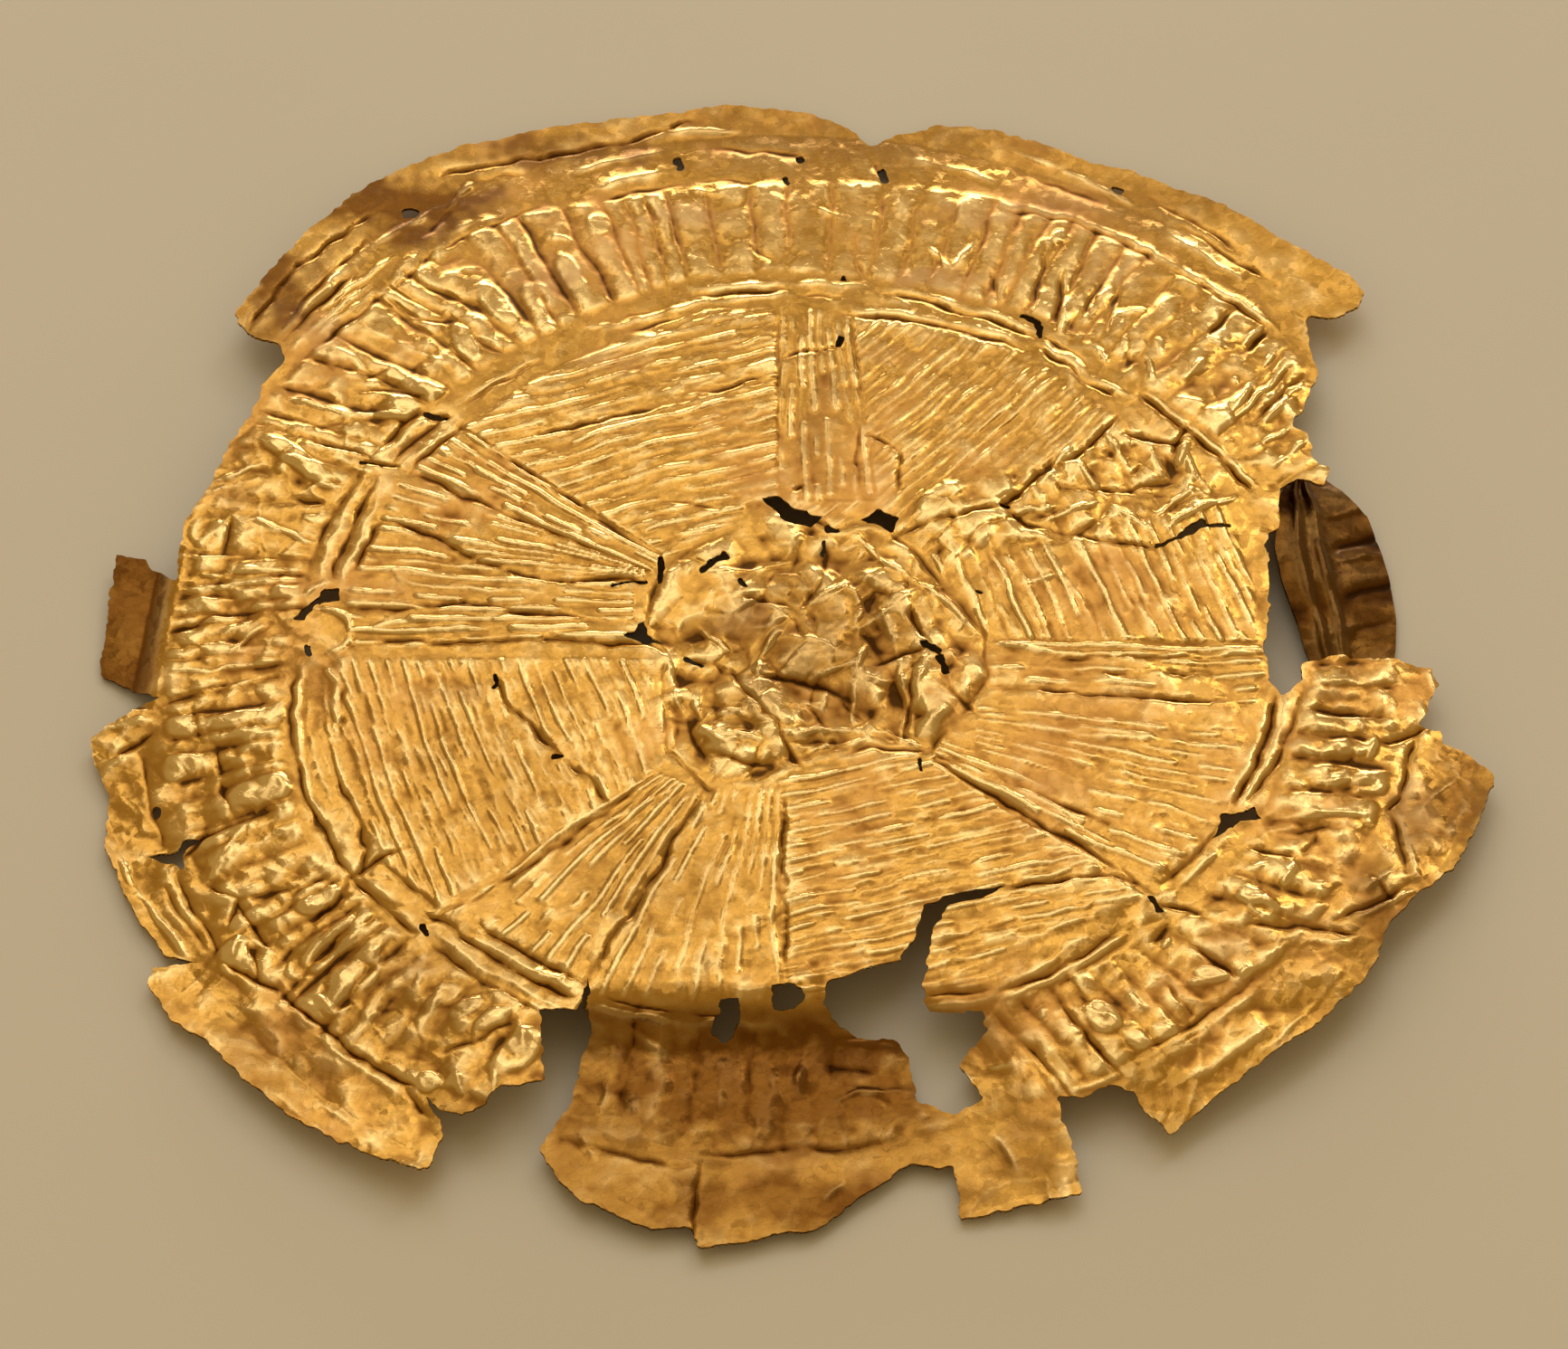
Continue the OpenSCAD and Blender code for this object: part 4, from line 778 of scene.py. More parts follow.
# %% [markdown]
# The ring itself is a double line of folds, and so is much of the crease inside the rim. They run
# round the disc, so they are easier to read and to write by angle and distance from the middle.
# Most folds of the border cross it along the valleys between the leaves.
# %% Folds round the disc
# Angle and radius of one end, the same of the other, reach to each side, height
ROUND_FOLDS = [
    # the ring, upper left
    [167, 21.2, 158, 21.3, 0.36, 0.2], [158, 21.4, 150.4, 21.5, 0.36, 0.24],
    [168, 20.2, 158, 20.1, 0.34, 0.22], [158, 20.1, 150, 20.4, 0.34, 0.2],
    [168, 21.7, 157, 21.9, 0.16, -0.24], [157, 21.8, 150, 21.8, 0.16, -0.22],
    [167, 20.7, 158, 20.75, 0.2, -0.34], [158, 20.75, 151, 21, 0.2, -0.34],
    [165, 19.75, 156, 19.65, 0.16, -0.24], [148, 21.9, 144.4, 21.25, 0.3, 0.24],
    [144.4, 21.25, 139, 21.35, 0.3, 0.24], [148, 20.5, 145, 20.15, 0.28, 0.22],
    [145, 20.15, 136.8, 20.05, 0.28, 0.24], [147, 20.9, 138, 20.7, 0.2, -0.3],
    [146, 21.8, 139, 21.75, 0.16, -0.26], [149, 22.2, 147.5, 20.4, 0.2, -0.3],
    [139, 21.2, 137.4, 20.5, 0.18, -0.4], [148, 19.9, 137, 19.7, 0.16, -0.3],
    # the ring, behind
    [135, 20.8, 122.6, 20.6, 0.18, 0.14], [135, 20.55, 122.6, 20.4, 0.14, -0.16],
    [115, 21.2, 112, 20.95, 0.2, 0.18], [113, 20.7, 104, 20.75, 0.3, 0.2],
    [111, 21.05, 105, 21, 0.16, -0.2], [110, 20.15, 104, 20.2, 0.16, -0.2],
    [105, 20.9, 98, 20.95, 0.28, 0.2], [98, 20.95, 89.5, 21.15, 0.28, 0.2],
    [101, 21.8, 90, 21.75, 0.34, 0.24], [101, 21.4, 89.7, 21.45, 0.16, -0.4],
    [89, 21.8, 80, 22, 0.34, 0.18], [88, 21.2, 82, 21.2, 0.16, -0.14],
    [77, 22, 68, 22.1, 0.24, 0.18], [68, 22.1, 58.6, 22.3, 0.24, 0.18],
    [77.5, 21.65, 68, 21.75, 0.18, -0.4], [68, 21.75, 58.6, 21.95, 0.18, -0.42],
    [81, 20.5, 70, 20.85, 0.26, 0.18], [70, 20.85, 58.8, 21.3, 0.26, 0.18],
    [82, 20.15, 69, 20.55, 0.18, -0.36], [69, 20.55, 58.8, 20.95, 0.18, -0.36],
    [57, 22.1, 51, 21.8, 0.18, -0.34], [57, 21.4, 50, 21.05, 0.18, -0.36],
    [50, 21.05, 45.4, 21.25, 0.18, -0.34], [57, 21.7, 51, 21.45, 0.26, 0.22],
    [50, 21.45, 44, 21.75, 0.24, 0.22], [43.4, 22.1, 36, 22.5, 0.18, -0.4],
    [36, 22.5, 25, 23.1, 0.18, -0.36], [43, 22.35, 36, 22.75, 0.26, 0.24],
    [36, 22.75, 25, 23.35, 0.24, 0.22],
    # the ring, right and in front
    [356, 22.95, 348, 22.55, 0.16, -0.22], [348, 22.55, 339, 21.9, 0.16, -0.24],
    [356, 23.2, 348, 22.85, 0.24, 0.1], [354.4, 21.9, 347, 21.65, 0.16, -0.4],
    [347, 21.65, 338, 21.35, 0.16, -0.4], [355, 22.4, 346, 22, 0.3, 0.14],
    [346, 22, 338.6, 21.65, 0.3, 0.14], [354, 21.55, 338, 21, 0.26, 0.1],
    [333, 21.7, 322, 21.1, 0.34, 0.22], [334, 21.2, 323, 20.6, 0.18, -0.2],
    [314.6, 21.1, 306, 21, 0.26, 0.2], [306, 21, 297, 20.85, 0.26, 0.22],
    [314, 20.75, 305, 20.7, 0.18, -0.22], [305, 20.7, 297, 20.5, 0.18, -0.22],
    [314, 21.45, 304, 21.35, 0.16, -0.16], [296, 20.65, 288.4, 20, 0.34, 0.22],
    [296.4, 20.15, 289, 19.35, 0.2, -0.26], [310.6, 20.1, 300, 20.1, 0.26, 0.18],
    [257, 20.4, 246.4, 20.75, 0.4, 0.4], [268, 19.9, 257, 20.4, 0.4, 0.3],
    [256, 19.75, 248, 19.95, 0.22, -0.3], [264, 19.6, 258, 19.7, 0.22, -0.2],
    # the ring, left and in front
    [241, 21.9, 234, 21.95, 0.18, -0.36], [234, 21.95, 226, 21.85, 0.18, -0.34],
    [244, 21.35, 235, 21.3, 0.4, 0.2], [235, 21.3, 225.4, 21.25, 0.4, 0.2],
    [244, 20.6, 235, 20.6, 0.18, -0.34], [235, 20.6, 226, 20.55, 0.18, -0.34],
    [226, 20.55, 222, 20.9, 0.18, -0.3], [244, 20.15, 229, 20.2, 0.3, 0.18],
    [244, 19.65, 228, 19.6, 0.18, -0.28], [223, 21.95, 212.4, 22.3, 0.18, -0.34],
    [212, 22.3, 203, 22.2, 0.18, -0.34], [221, 21.5, 213, 21.8, 0.34, 0.18],
    [212.8, 21.9, 210, 21, 0.18, -0.3], [210, 21, 206, 20.6, 0.18, -0.3],
    [206, 20.6, 198, 20.6, 0.18, -0.28], [212.4, 22.6, 212.2, 19.4, 0.16, -0.3],
    [222, 20.4, 214, 20.6, 0.2, -0.2], [205, 22.35, 195, 22.15, 0.16, -0.26],
    [204, 22.1, 195, 21.9, 0.22, 0.2], [195, 21.95, 180.4, 21.3, 0.2, 0.24],
    [194, 22.2, 181, 21.55, 0.14, -0.2], [204, 21.4, 186, 21.15, 0.16, 0.07],
    [200, 20.95, 188, 20.65, 0.16, 0.06], [193, 20.35, 183, 20.3, 0.16, 0.14],
    [193, 20.05, 184, 19.75, 0.2, 0.2], [184, 19.75, 181.4, 20.15, 0.2, 0.22],
    [192, 19.8, 184, 19.5, 0.14, -0.22], [203, 19.6, 190, 19.3, 0.16, 0.05],
    [204, 18.7, 190, 18.5, 0.16, 0.05], [198, 21.7, 184, 21.3, 0.12, -0.06],
    # the crease inside the rim
    [141.4, 27.85, 130, 27.9, 0.22, -0.34], [130, 27.9, 124.4, 28.7, 0.22, -0.36],
    [124.4, 28.7, 113, 28.8, 0.22, -0.34], [139, 28.3, 130, 28.4, 0.34, 0.22],
    [130, 28.4, 124.8, 29.1, 0.34, 0.22], [123, 29.35, 116.4, 29.1, 0.4, 0.3],
    [109, 29, 101, 29.2, 0.5, 0.26], [107.4, 28.2, 99.6, 28.35, 0.2, -0.3],
    [98, 28.4, 92, 28, 0.2, -0.2], [75, 28.5, 69, 28.6, 0.3, 0.18], [69, 28.6, 62, 29.2, 0.3, 0.24],
    [62, 29.2, 51, 29.2, 0.3, 0.24], [51, 29.2, 40.4, 29.55, 0.3, 0.26],
    [69, 28.25, 62, 28.85, 0.2, -0.24], [62, 28.85, 52, 28.85, 0.2, -0.26],
    [52, 28.85, 41, 29.25, 0.2, -0.3], [351, 28.15, 344, 28.1, 0.2, -0.34],
    [344, 28.1, 342.4, 27.7, 0.2, -0.34], [342.4, 27.9, 336.6, 29.6, 0.22, -0.3],
    [342, 28.3, 336.8, 30, 0.26, 0.24], [319, 27.25, 309, 27.15, 0.4, 0.2],
    [309, 27.15, 303.4, 26.7, 0.4, 0.2], [319, 26.8, 305, 26.4, 0.2, -0.2],
    [279, 26.7, 270, 26.6, 0.24, -0.24], [270, 26.6, 262.6, 27.2, 0.24, -0.24],
    [262, 27.8, 250, 27.8, 0.24, -0.26], [236.4, 28.15, 228, 28.3, 0.2, -0.5],
    [228, 28.3, 220.4, 28.35, 0.2, -0.5], [219.6, 28.4, 214.4, 29.5, 0.2, -0.4],
    [213, 29.3, 204, 29.1, 0.2, -0.3], [236, 28.7, 221, 28.85, 0.4, 0.2],
    [303, 26.9, 297, 26.4, 0.3, 0.14], [355, 28.3, 351.6, 28.6, 0.3, 0.3],
    # the border behind and at the left
    [137, 24.4, 139.6, 24.9, 0.18, -0.3], [141, 24.6, 136.8, 22, 0.18, -0.3],
    [144.6, 24.4, 140.6, 21.9, 0.2, 0.3], [130.9, 27.8, 130.1, 25.7, 0.16, -0.3],
    [130.1, 25.7, 128, 24.6, 0.18, -0.26], [128, 24.6, 125.3, 21.9, 0.16, 0.2],
    [134.6, 26.9, 132, 22.6, 0.2, 0.16], [124.6, 27.2, 121.6, 26.8, 0.3, 0.24],
    [120, 25.7, 116.4, 25.6, 0.3, 0.2], [113.6, 26.9, 111.6, 26.2, 0.26, 0.2],
    [103.6, 27.6, 102.4, 26.2, 0.22, -0.2], [98.6, 27.9, 96.4, 27.4, 0.3, 0.24],
    [93.6, 24, 91, 23.2, 0.25, -0.14], [87, 26.4, 84, 26, 0.3, 0.16],
    [82.6, 24.8, 80.6, 22.4, 0.25, -0.16], [199.6, 25.7, 195.6, 25.7, 0.22, -0.26],
    [194.4, 25.5, 191.2, 25.4, 0.22, -0.24], [189.8, 26.2, 186, 26.3, 0.2, -0.22],
    [179, 24.6, 175.2, 23.2, 0.16, 0.39], [178.6, 24.4, 175, 22.9, 0.14, -0.24],
    [176.4, 25, 174.8, 23.6, 0.16, 0.36], [176.8, 27.3, 174.2, 25.5, 0.18, -0.34],
    [174.2, 25.5, 172.3, 21.6, 0.18, -0.44], [166.7, 25.7, 161.8, 25.9, 0.22, -0.2],
    [161.6, 25.1, 162.4, 22, 0.18, 0.39], [159.4, 27.3, 155.4, 25.3, 0.16, 0.36],
    [159, 27.1, 155, 25.1, 0.14, -0.22], [158.2, 27.4, 154.6, 25.9, 0.16, 0.3],
    [157, 24, 156.6, 22.3, 0.16, -0.26], [155.4, 23.4, 153.4, 22.2, 0.16, 0.36],
    [153.4, 25.5, 150.2, 21.6, 0.16, 0.45], [150, 24.6, 148.4, 22, 0.16, 0.39],
    [149.6, 24.4, 148, 21.9, 0.16, -0.36], [146.2, 26.9, 144.6, 24.4, 0.16, 0.45],
    [144.6, 24.4, 141, 21.9, 0.16, 0.45], [169.6, 27.2, 167, 22.2, 0.14, 0.3],
    [171.4, 27.2, 168.4, 22.2, 0.14, 0.3], [167.8, 27.5, 164.3, 21.9, 0.14, 0.33],
    [181.6, 27, 180, 22.2, 0.14, 0.36], [185, 27.4, 181.8, 22.4, 0.14, 0.3],
    [185.4, 27.8, 183, 24.4, 0.16, -0.34],
    # the border at the left and in front
    [203, 29.2, 201, 27, 0.2, -0.4], [201.4, 28, 200.8, 23.8, 0.18, -0.3],
    [204.6, 27, 201.6, 25.2, 0.18, 0.24], [216.4, 27.5, 209.4, 27.2, 0.18, -0.3],
    [211.6, 28.4, 209.2, 27.1, 0.18, -0.3], [209.2, 27.1, 206.4, 28, 0.18, -0.3],
    [209.4, 27.1, 210.4, 24.6, 0.18, -0.3], [206.2, 27.9, 203.6, 26.4, 0.2, 0.26],
    [214.8, 29.2, 213, 28.2, 0.3, 0.3], [218, 28.8, 214, 28, 0.2, -0.26],
    [217.6, 27.4, 214, 27.6, 0.2, 0.24], [213.8, 24.8, 212.6, 24.9, 0.4, 0.2],
    [215, 25, 214.4, 23.6, 0.18, -0.26], [214.4, 23.6, 212.6, 22.6, 0.18, -0.26],
    [211.2, 25, 211, 23.2, 0.18, -0.3], [225.8, 26.6, 225, 27.4, 0.2, 0.2],
    [225, 27.4, 222.4, 27.4, 0.2, 0.26], [222.4, 27.4, 221.6, 26.4, 0.2, 0.2],
    [220.4, 26.8, 219, 27.5, 0.18, 0.24], [219, 27.5, 217.4, 27, 0.18, 0.24],
    [219.4, 26.2, 217.6, 23.2, 0.22, -0.3], [224.4, 26, 222, 22.8, 0.26, -0.14],
    [239.3, 23.2, 237.4, 24.8, 0.2, -0.3], [237.4, 24.8, 235.2, 26, 0.2, -0.24],
    [242.4, 26.8, 240.6, 25, 0.26, 0.24], [243, 24.4, 240.6, 22.8, 0.4, 0.2],
    [236.6, 28.6, 234.4, 27.4, 0.4, 0.36], [232, 24.8, 230, 22.9, 0.3, 0.16],
    [229, 24.2, 227, 22.6, 0.26, 0.2], [240, 27.4, 238, 26.6, 0.4, 0.3],
    [256, 25.6, 255, 24.8, 0.4, 0.16], [253.4, 28.2, 251.4, 27.4, 0.3, 0.2],
    [258, 22.6, 250.6, 21, 0.3, 0.14],
    # the border in front and at the right
    [289.4, 24.6, 288.8, 23.6, 0.4, 0.3], [294.6, 24.2, 291, 24, 0.4, 0.26],
    [297.4, 26.8, 296.2, 23.4, 0.22, -0.26], [302.4, 27, 302.4, 22.4, 0.2, -0.26],
    [300.4, 22, 299.6, 22.6, 0.3, 0.3], [305.6, 24.2, 303.6, 23, 0.5, 0.34],
    [309, 24.6, 309.2, 23.4, 0.3, 0.26], [312.4, 26.2, 313, 24.2, 0.18, -0.24],
    [317.4, 25.8, 314.4, 24.8, 0.4, 0.34], [319.6, 26.4, 318.4, 26.2, 0.3, 0.36],
    [318.4, 26.2, 318.4, 23.6, 0.2, -0.36], [322.4, 22.6, 320, 20.8, 0.2, -0.3],
    [319, 22.2, 315.6, 22.2, 0.2, -0.3], [317.4, 22.6, 316, 22.8, 0.2, 0.34],
    [312.8, 27.2, 306, 27, 0.2, -0.14], [328.8, 29, 326.8, 26.9, 0.2, -0.44],
    [326.8, 26.9, 323.8, 25, 0.2, -0.4], [327.6, 29, 325.6, 27, 0.22, 0.26],
    [327.6, 25.6, 326, 23.4, 0.3, 0.3], [335.4, 29.9, 328.8, 27.9, 0.18, -0.34],
    [335, 30.2, 330.6, 28.8, 0.18, 0.34], [336.6, 29, 333.6, 28.4, 0.22, 0.3],
    [333.2, 29.9, 335.4, 28, 0.18, -0.26], [337.6, 25.2, 334.4, 25.2, 0.18, -0.3],
    [338.4, 25.6, 336, 23.8, 0.18, -0.3], [333.6, 25, 332.8, 22.8, 0.18, -0.3],
    [333, 25, 329.6, 25.2, 0.22, 0.26], [331.6, 23.8, 329.4, 23.2, 0.2, 0.3],
    [345.8, 26.8, 341.6, 23, 0.34, 0.2], [341.6, 27.4, 337.6, 23, 0.34, 0.2],
    [350.6, 26.3, 348, 26.4, 0.3, 0.3], [359, 28.6, 356.4, 28.9, 0.3, 0.26],
    [353.2, 26, 353, 23.2, 0.16, -0.36], [352.6, 28.9, 350.4, 27, 0.2, -0.4],
    [347.6, 30.4, 343, 29, 0.3, 0.2], [345, 31, 341, 30.6, 0.5, 0.24],
    # behind, at the right
    [60.4, 26, 57.4, 22.8, 0.18, -0.4], [59.6, 26, 56.8, 22.9, 0.18, 0.26],
    [63, 26.8, 61, 23.4, 0.18, -0.3], [56.4, 26.4, 55.4, 24, 0.2, -0.3],
    [66.8, 24.4, 64.6, 22.8, 0.2, -0.26], [74.4, 25, 71.4, 24, 0.2, 0.3],
    [71.4, 24, 70, 26, 0.2, 0.24], [64, 27.2, 62.4, 27.8, 0.5, 0.34],
    [52.6, 25.2, 50.6, 26.2, 0.22, 0.3], [49.8, 24.4, 47, 22.8, 0.2, -0.3],
    [47.4, 25.2, 46, 24.6, 0.26, 0.34], [44.6, 28.9, 44, 26.8, 0.18, -0.4],
    [44, 26.8, 42, 27, 0.2, 0.26], [41.6, 29.2, 41, 27.6, 0.2, 0.34],
    [40.8, 29.2, 40.2, 27.4, 0.16, -0.34], [37.4, 28.6, 34.4, 24.8, 0.14, -0.26],
    [36, 28.6, 33.6, 24.8, 0.14, -0.26], [35, 28.9, 32.6, 25.2, 0.14, -0.26],
    [38.6, 28.8, 35.4, 25, 0.14, 0.24], [36.6, 28.6, 34, 24.8, 0.14, 0.24],
    [34.2, 28.6, 32, 25.6, 0.14, 0.24], [30.2, 26.4, 29.6, 24.4, 0.18, 0.4],
    [38.4, 26.2, 37.6, 26, 0.3, 0.4], [54.4, 26.6, 52, 23.4, 0.24, -0.2],
    [46.6, 24, 43.6, 23.2, 0.2, 0.3], [51.6, 22.9, 49.4, 22.6, 0.26, 0.34],
    [42, 25.6, 41.6, 24.4, 0.24, 0.3], [40, 23.2, 37, 24, 0.2, 0.26],
    [34.6, 22.2, 32, 20.8, 0.2, 0.34], [36, 22.6, 33.6, 21, 0.18, -0.34],
    # on the rim
    [141, 29.2, 131, 30, 0.2, -0.3], [140.6, 29.6, 131.6, 30.4, 0.24, 0.26],
    [141, 28.6, 131, 28.9, 0.24, 0.26], [142, 31, 134, 32, 0.22, -0.34],
    [134, 32, 125, 32.2, 0.22, -0.3], [121, 30.4, 117, 31.6, 0.3, 0.26],
    [117, 31.6, 113, 31, 0.3, -0.24], [119, 32.6, 111, 31.7, 0.26, -0.34],
    [111, 31.7, 104, 31.4, 0.3, -0.3], [104, 31.4, 98, 32.2, 0.3, -0.26],
    [123.6, 29.8, 120, 30.6, 0.26, -0.26], [192, 30.6, 190.4, 29.6, 0.2, 0.3],
    [190.6, 30, 188.6, 28.2, 0.2, -0.4], [187.4, 30.4, 186.8, 28.2, 0.2, 0.3],
    [201, 29, 191, 28.8, 0.22, -0.26], [212, 30.6, 206, 31, 0.2, 0.3],
    [206, 31, 200.6, 31.2, 0.2, 0.3], [212, 29.8, 205, 29.8, 0.22, -0.26],
    [234, 31.4, 230, 31.2, 0.4, 0.14], [228, 31, 222, 30.8, 0.4, -0.12],
    [238.6, 29, 235, 28.4, 0.24, -0.3], [262.8, 31.4, 262.4, 27.6, 0.2, -0.3],
    [275, 28.4, 273, 29.4, 0.3, 0.16], [290, 29.4, 289.4, 27.4, 0.4, 0.26],
    [318, 29, 305, 28.6, 0.6, 0.16], [324, 29.6, 312, 29.8, 0.4, 0.12],
    [68, 30.6, 60, 30.6, 0.4, -0.16], [56, 30.4, 46, 30.6, 0.4, 0.2], [58, 32, 48, 31.8, 0.4, -0.2],
    [82, 29.6, 81, 28.6, 0.3, -0.2], [136, 29.4, 127, 29.5, 0.2, 0.3],
    [128, 30.6, 121, 30.9, 0.3, 0.26], [138, 30.2, 128, 31.1, 0.2, -0.3],
    [109, 30.2, 101, 30.4, 0.3, 0.3], [101, 31.6, 94, 31.2, 0.4, 0.24],
    [96, 30.2, 88, 29.8, 0.3, -0.24], [79, 30.2, 71, 29.8, 0.4, 0.24],
    [70, 31.8, 58, 31.2, 0.3, 0.24], [54, 31.2, 44, 31.4, 0.3, -0.26],
]
# On the flap, by the tab and at the torn right edge, with the columns of the folds inside the ring
PLAN_FOLDS = [
    [1, -21.2, 0.6, -23.6, 0, 0.3, 0.3], [-1.2, -19.6, -1.6, -25.6, 0, 0.4, -0.16],
    [2.2, -20.6, 2, -23, 0.1, 0.4, -0.2], [-3.6, -19.4, -4.2, -26, 0.1, 0.4, -0.14],
    [-6.2, -18.6, -7, -25, 0, 0.4, -0.16], [-7, -19, -7.8, -25.4, 0, 0.45, 0.14],
    [-5.2, -19.2, -5.8, -25.6, 0.1, 0.5, 0.12], [-2.4, -21.4, -2.9, -25.2, 0, 0.5, 0.12],
    [-0.2, -22, -0.8, -26, 0, 0.4, 0.12], [1.6, -22, 4, -22.6, 0, 0.3, -0.24],
    [2.2, -24, 5.4, -23.6, 0.2, 0.3, 0.24], [2.6, -20.9, 4.8, -21.2, 0, 0.25, 0.26],
    [22.2, 11, 23.6, 12.6, 0, 0.3, 0.3], [-27, 6.1, -21.4, 5.9, -0.1, 0.18, -0.2],
    [-27, 3.5, -21.6, 3.5, 0, 0.25, 0.16],
]
print("Folds round the disc and on the flap:", len(ROUND_FOLDS) + len(PLAN_FOLDS))

# %% [markdown]
# Each fold is added to the small part of the grid that it reaches. A sharp fold is a falling
# exponential of the distance from its line. It mustn't be narrower than the grid can show, or it
# would be seen in some places and not in others.
# %% Laying the folds
# Part of a fold's reach at which it is down to a third, and the least that this may be, in mm
SHARPNESS, NARROWEST = 0.55, 0.115
# Part of the tables' heights for crests and for valleys
CREST_PART, VALLEY_PART = 0.5, 0.62


def add_fold(relief, x1, y1, x2, y2, bow, reach, height):
    """Adds one fold: its height times the falling exponential of the distance from a bowed line.
    The bow is a parabola, and the fold runs out smoothly at both ends."""
    part = grid_part(x1, y1, x2, y2, 6 * reach + abs(bow) + PITCH)
    x, y = X[part], Y[part]
    length = math.hypot(x2 - x1, y2 - y1)
    along = ((x - x1) * (x2 - x1) + (y - y1) * (y2 - y1)) / length
    across = ((x2 - x1) * (y - y1) - (y2 - y1) * (x - x1)) / length
    t = np.clip(along / length, 0, 1)
    across = across - 4 * bow * t * (1 - t) + 0.1 * waves(x * 1.3, y * 1.3, 31)
    across = across + 0.09 * facets(x, y, 0.9, 32)
    past = np.maximum(np.maximum(-along, along - length), 0)
    away = np.hypot(across, past) / max(SHARPNESS * reach, NARROWEST)
    ends = 0.35 + 0.65 * smooth(4 * t) * smooth(4 * (1 - t))
    uneven = 0.8 + 0.25 * waves(x * 1.1, y * 1.1, 33) + 0.5 * facets(x, y, 0.9, 34)
    full = height * (CREST_PART if height > 0 else VALLEY_PART)
    relief[part] += full * ends * uneven * np.exp(-away ** 1.2)


def as_plan_fold(angle1, radius1, angle2, radius2, reach, height):
    """A fold round the disc as a fold in the plan. It bows outwards by its radius less that of its
    chord's middle, as an arc of the disc does."""
    bow = (radius1 + radius2) / 2 * (1 - math.cos(math.radians(angle2 - angle1) / 2))
    ends = from_middle(angle1, radius1) + from_middle(angle2, radius2)
    return [*ends, bow if angle1 > angle2 else -bow, reach, height]


FOLD_RELIEF = np.zeros_like(X)
ALL_FOLDS = CORE_FOLDS + FIELD_FOLDS + PLAN_FOLDS + [as_plan_fold(*fold) for fold in ROUND_FOLDS]
for fold in ALL_FOLDS:
    add_fold(FOLD_RELIEF, *fold)
print("Folds in all:", len(ALL_FOLDS))

# %% [markdown]
# Crumpling fills what is left: flat facets and sharp creases of several sizes over the whole sheet.
# They are stronger in the core and the border than in the fields, and the rim band is nearly plain.
# One arm, at the right behind, is crumpled all over. The border behind has stayed calmer.
# %% Crumpling
IN_CORE = smooth(-core_away / 0.8)
ON_RIM = smooth(crease_away / 0.8)
# The crumpled arm is so within 1.8 mm of its middle line, and no more from 2.6 mm on
CRUMPLED_ARM = smooth((to_line(X, Y, 8, 7.8, 19, 10.8)[0] - 2.6) / -0.8) * IN_FIELDS
# Size of the facets, height in the fields, and what is added to it in the core, the border, the rim
# and the crumpled arm
CRUMPLES = [
    [3.1, 0.08, 0.1, 0.08, 0.06, 0.14],
    [2.1, 0, 0.25, 0, 0.02, 0.06],
    [1.4, 0.045, 0.13, 0.06, 0.02, 0.1],
    [0.8, 0.028, 0.02, 0.03, 0, 0.05],
    [0.42, 0.01, 0.006, 0.01, 0, 0.014],
]
# The same for sharp valleys, less than 0, and sharp crests
CREASES = [
    [3.4, -0.02, -0.05, -0.03, -0.02, -0.06],
    [2.1, 0.015, 0.07, 0.02, 0.02, 0.06],
    [1.5, -0.012, -0.06, -0.02, -0.01, -0.06],
    [0.9, 0.012, 0.04, 0.01, 0, 0.03],
]
# How much calmer the border behind is: not at all at y 12, by 0.6 from y 24 on
CALM_BACK = 0.6 * smooth((Y - 12) / 12) * (1 - IN_FIELDS)
CRUMPLING = np.zeros_like(X)
for kind, rows, seed in ((facets, CRUMPLES, 56), (sharp_lines, CREASES, 61)):
    for size, least, core, border, rim, arm in rows:
        height = least + core * IN_CORE + border * IN_BORDER + rim * ON_RIM + arm * CRUMPLED_ARM
        CRUMPLING += (1 - CALM_BACK) * height * kind(X, Y, size, seed)
        seed += 10
print("Crumpling up to", round(float(np.abs(CRUMPLING).max()), 2), "mm")

# %% [markdown]
# Now everything is added up. At the hinges of the flap and the tab the sheet was pulled straight,
# so the relief fades there. Ribs and hatching give way where the one arm is crumpled. A last touch
# takes the hardness off: folds that are as narrow as the grid would look like a saw.
# %% The sheet's relief


def softened(values, part):
    """Every value but those at the grid's edge, moved by a part of the way towards the mean of its
    four neighbours."""
    mean = (values[:-2, 1:-1] + values[2:, 1:-1] + values[1:-1, :-2] + values[1:-1, 2:]) / 4
    soft = values.copy()
    soft[1:-1, 1:-1] = blend(values[1:-1, 1:-1], mean, part)
    return soft


PULLED = (1 - 1.4 * FLAP * (1 - FLAP)) * (1 - 4 * TAB * (1 - TAB)) * (1 - 0.7 * TAB)
PRESSED = CORE_RELIEF + LEAVES * (1 - 0.2 * CALM_BACK) + CRUMPLING
PRESSED += (FAN_RELIEF + HATCHING) * (1 - 0.7 * CRUMPLED_ARM)
PRESSED = PRESSED * np.clip(PULLED, 0, 1) * (1 - 0.35 * FLAP)
FOLDED = FOLD_RELIEF * (1 - 0.6 * TAB) * (1 - 0.5 * CALM_BACK * (1 - ON_RIM))
RELIEF = softened(PRESSED + FOLDED, 0.3)
PLACES = in_metres(X, Y, BROAD, RELIEF)
on_sheet = RELIEF[OPEN < 0]
print("Relief from", round(float(on_sheet.min()), 2), "to", round(float(on_sheet.max()), 2), "mm")

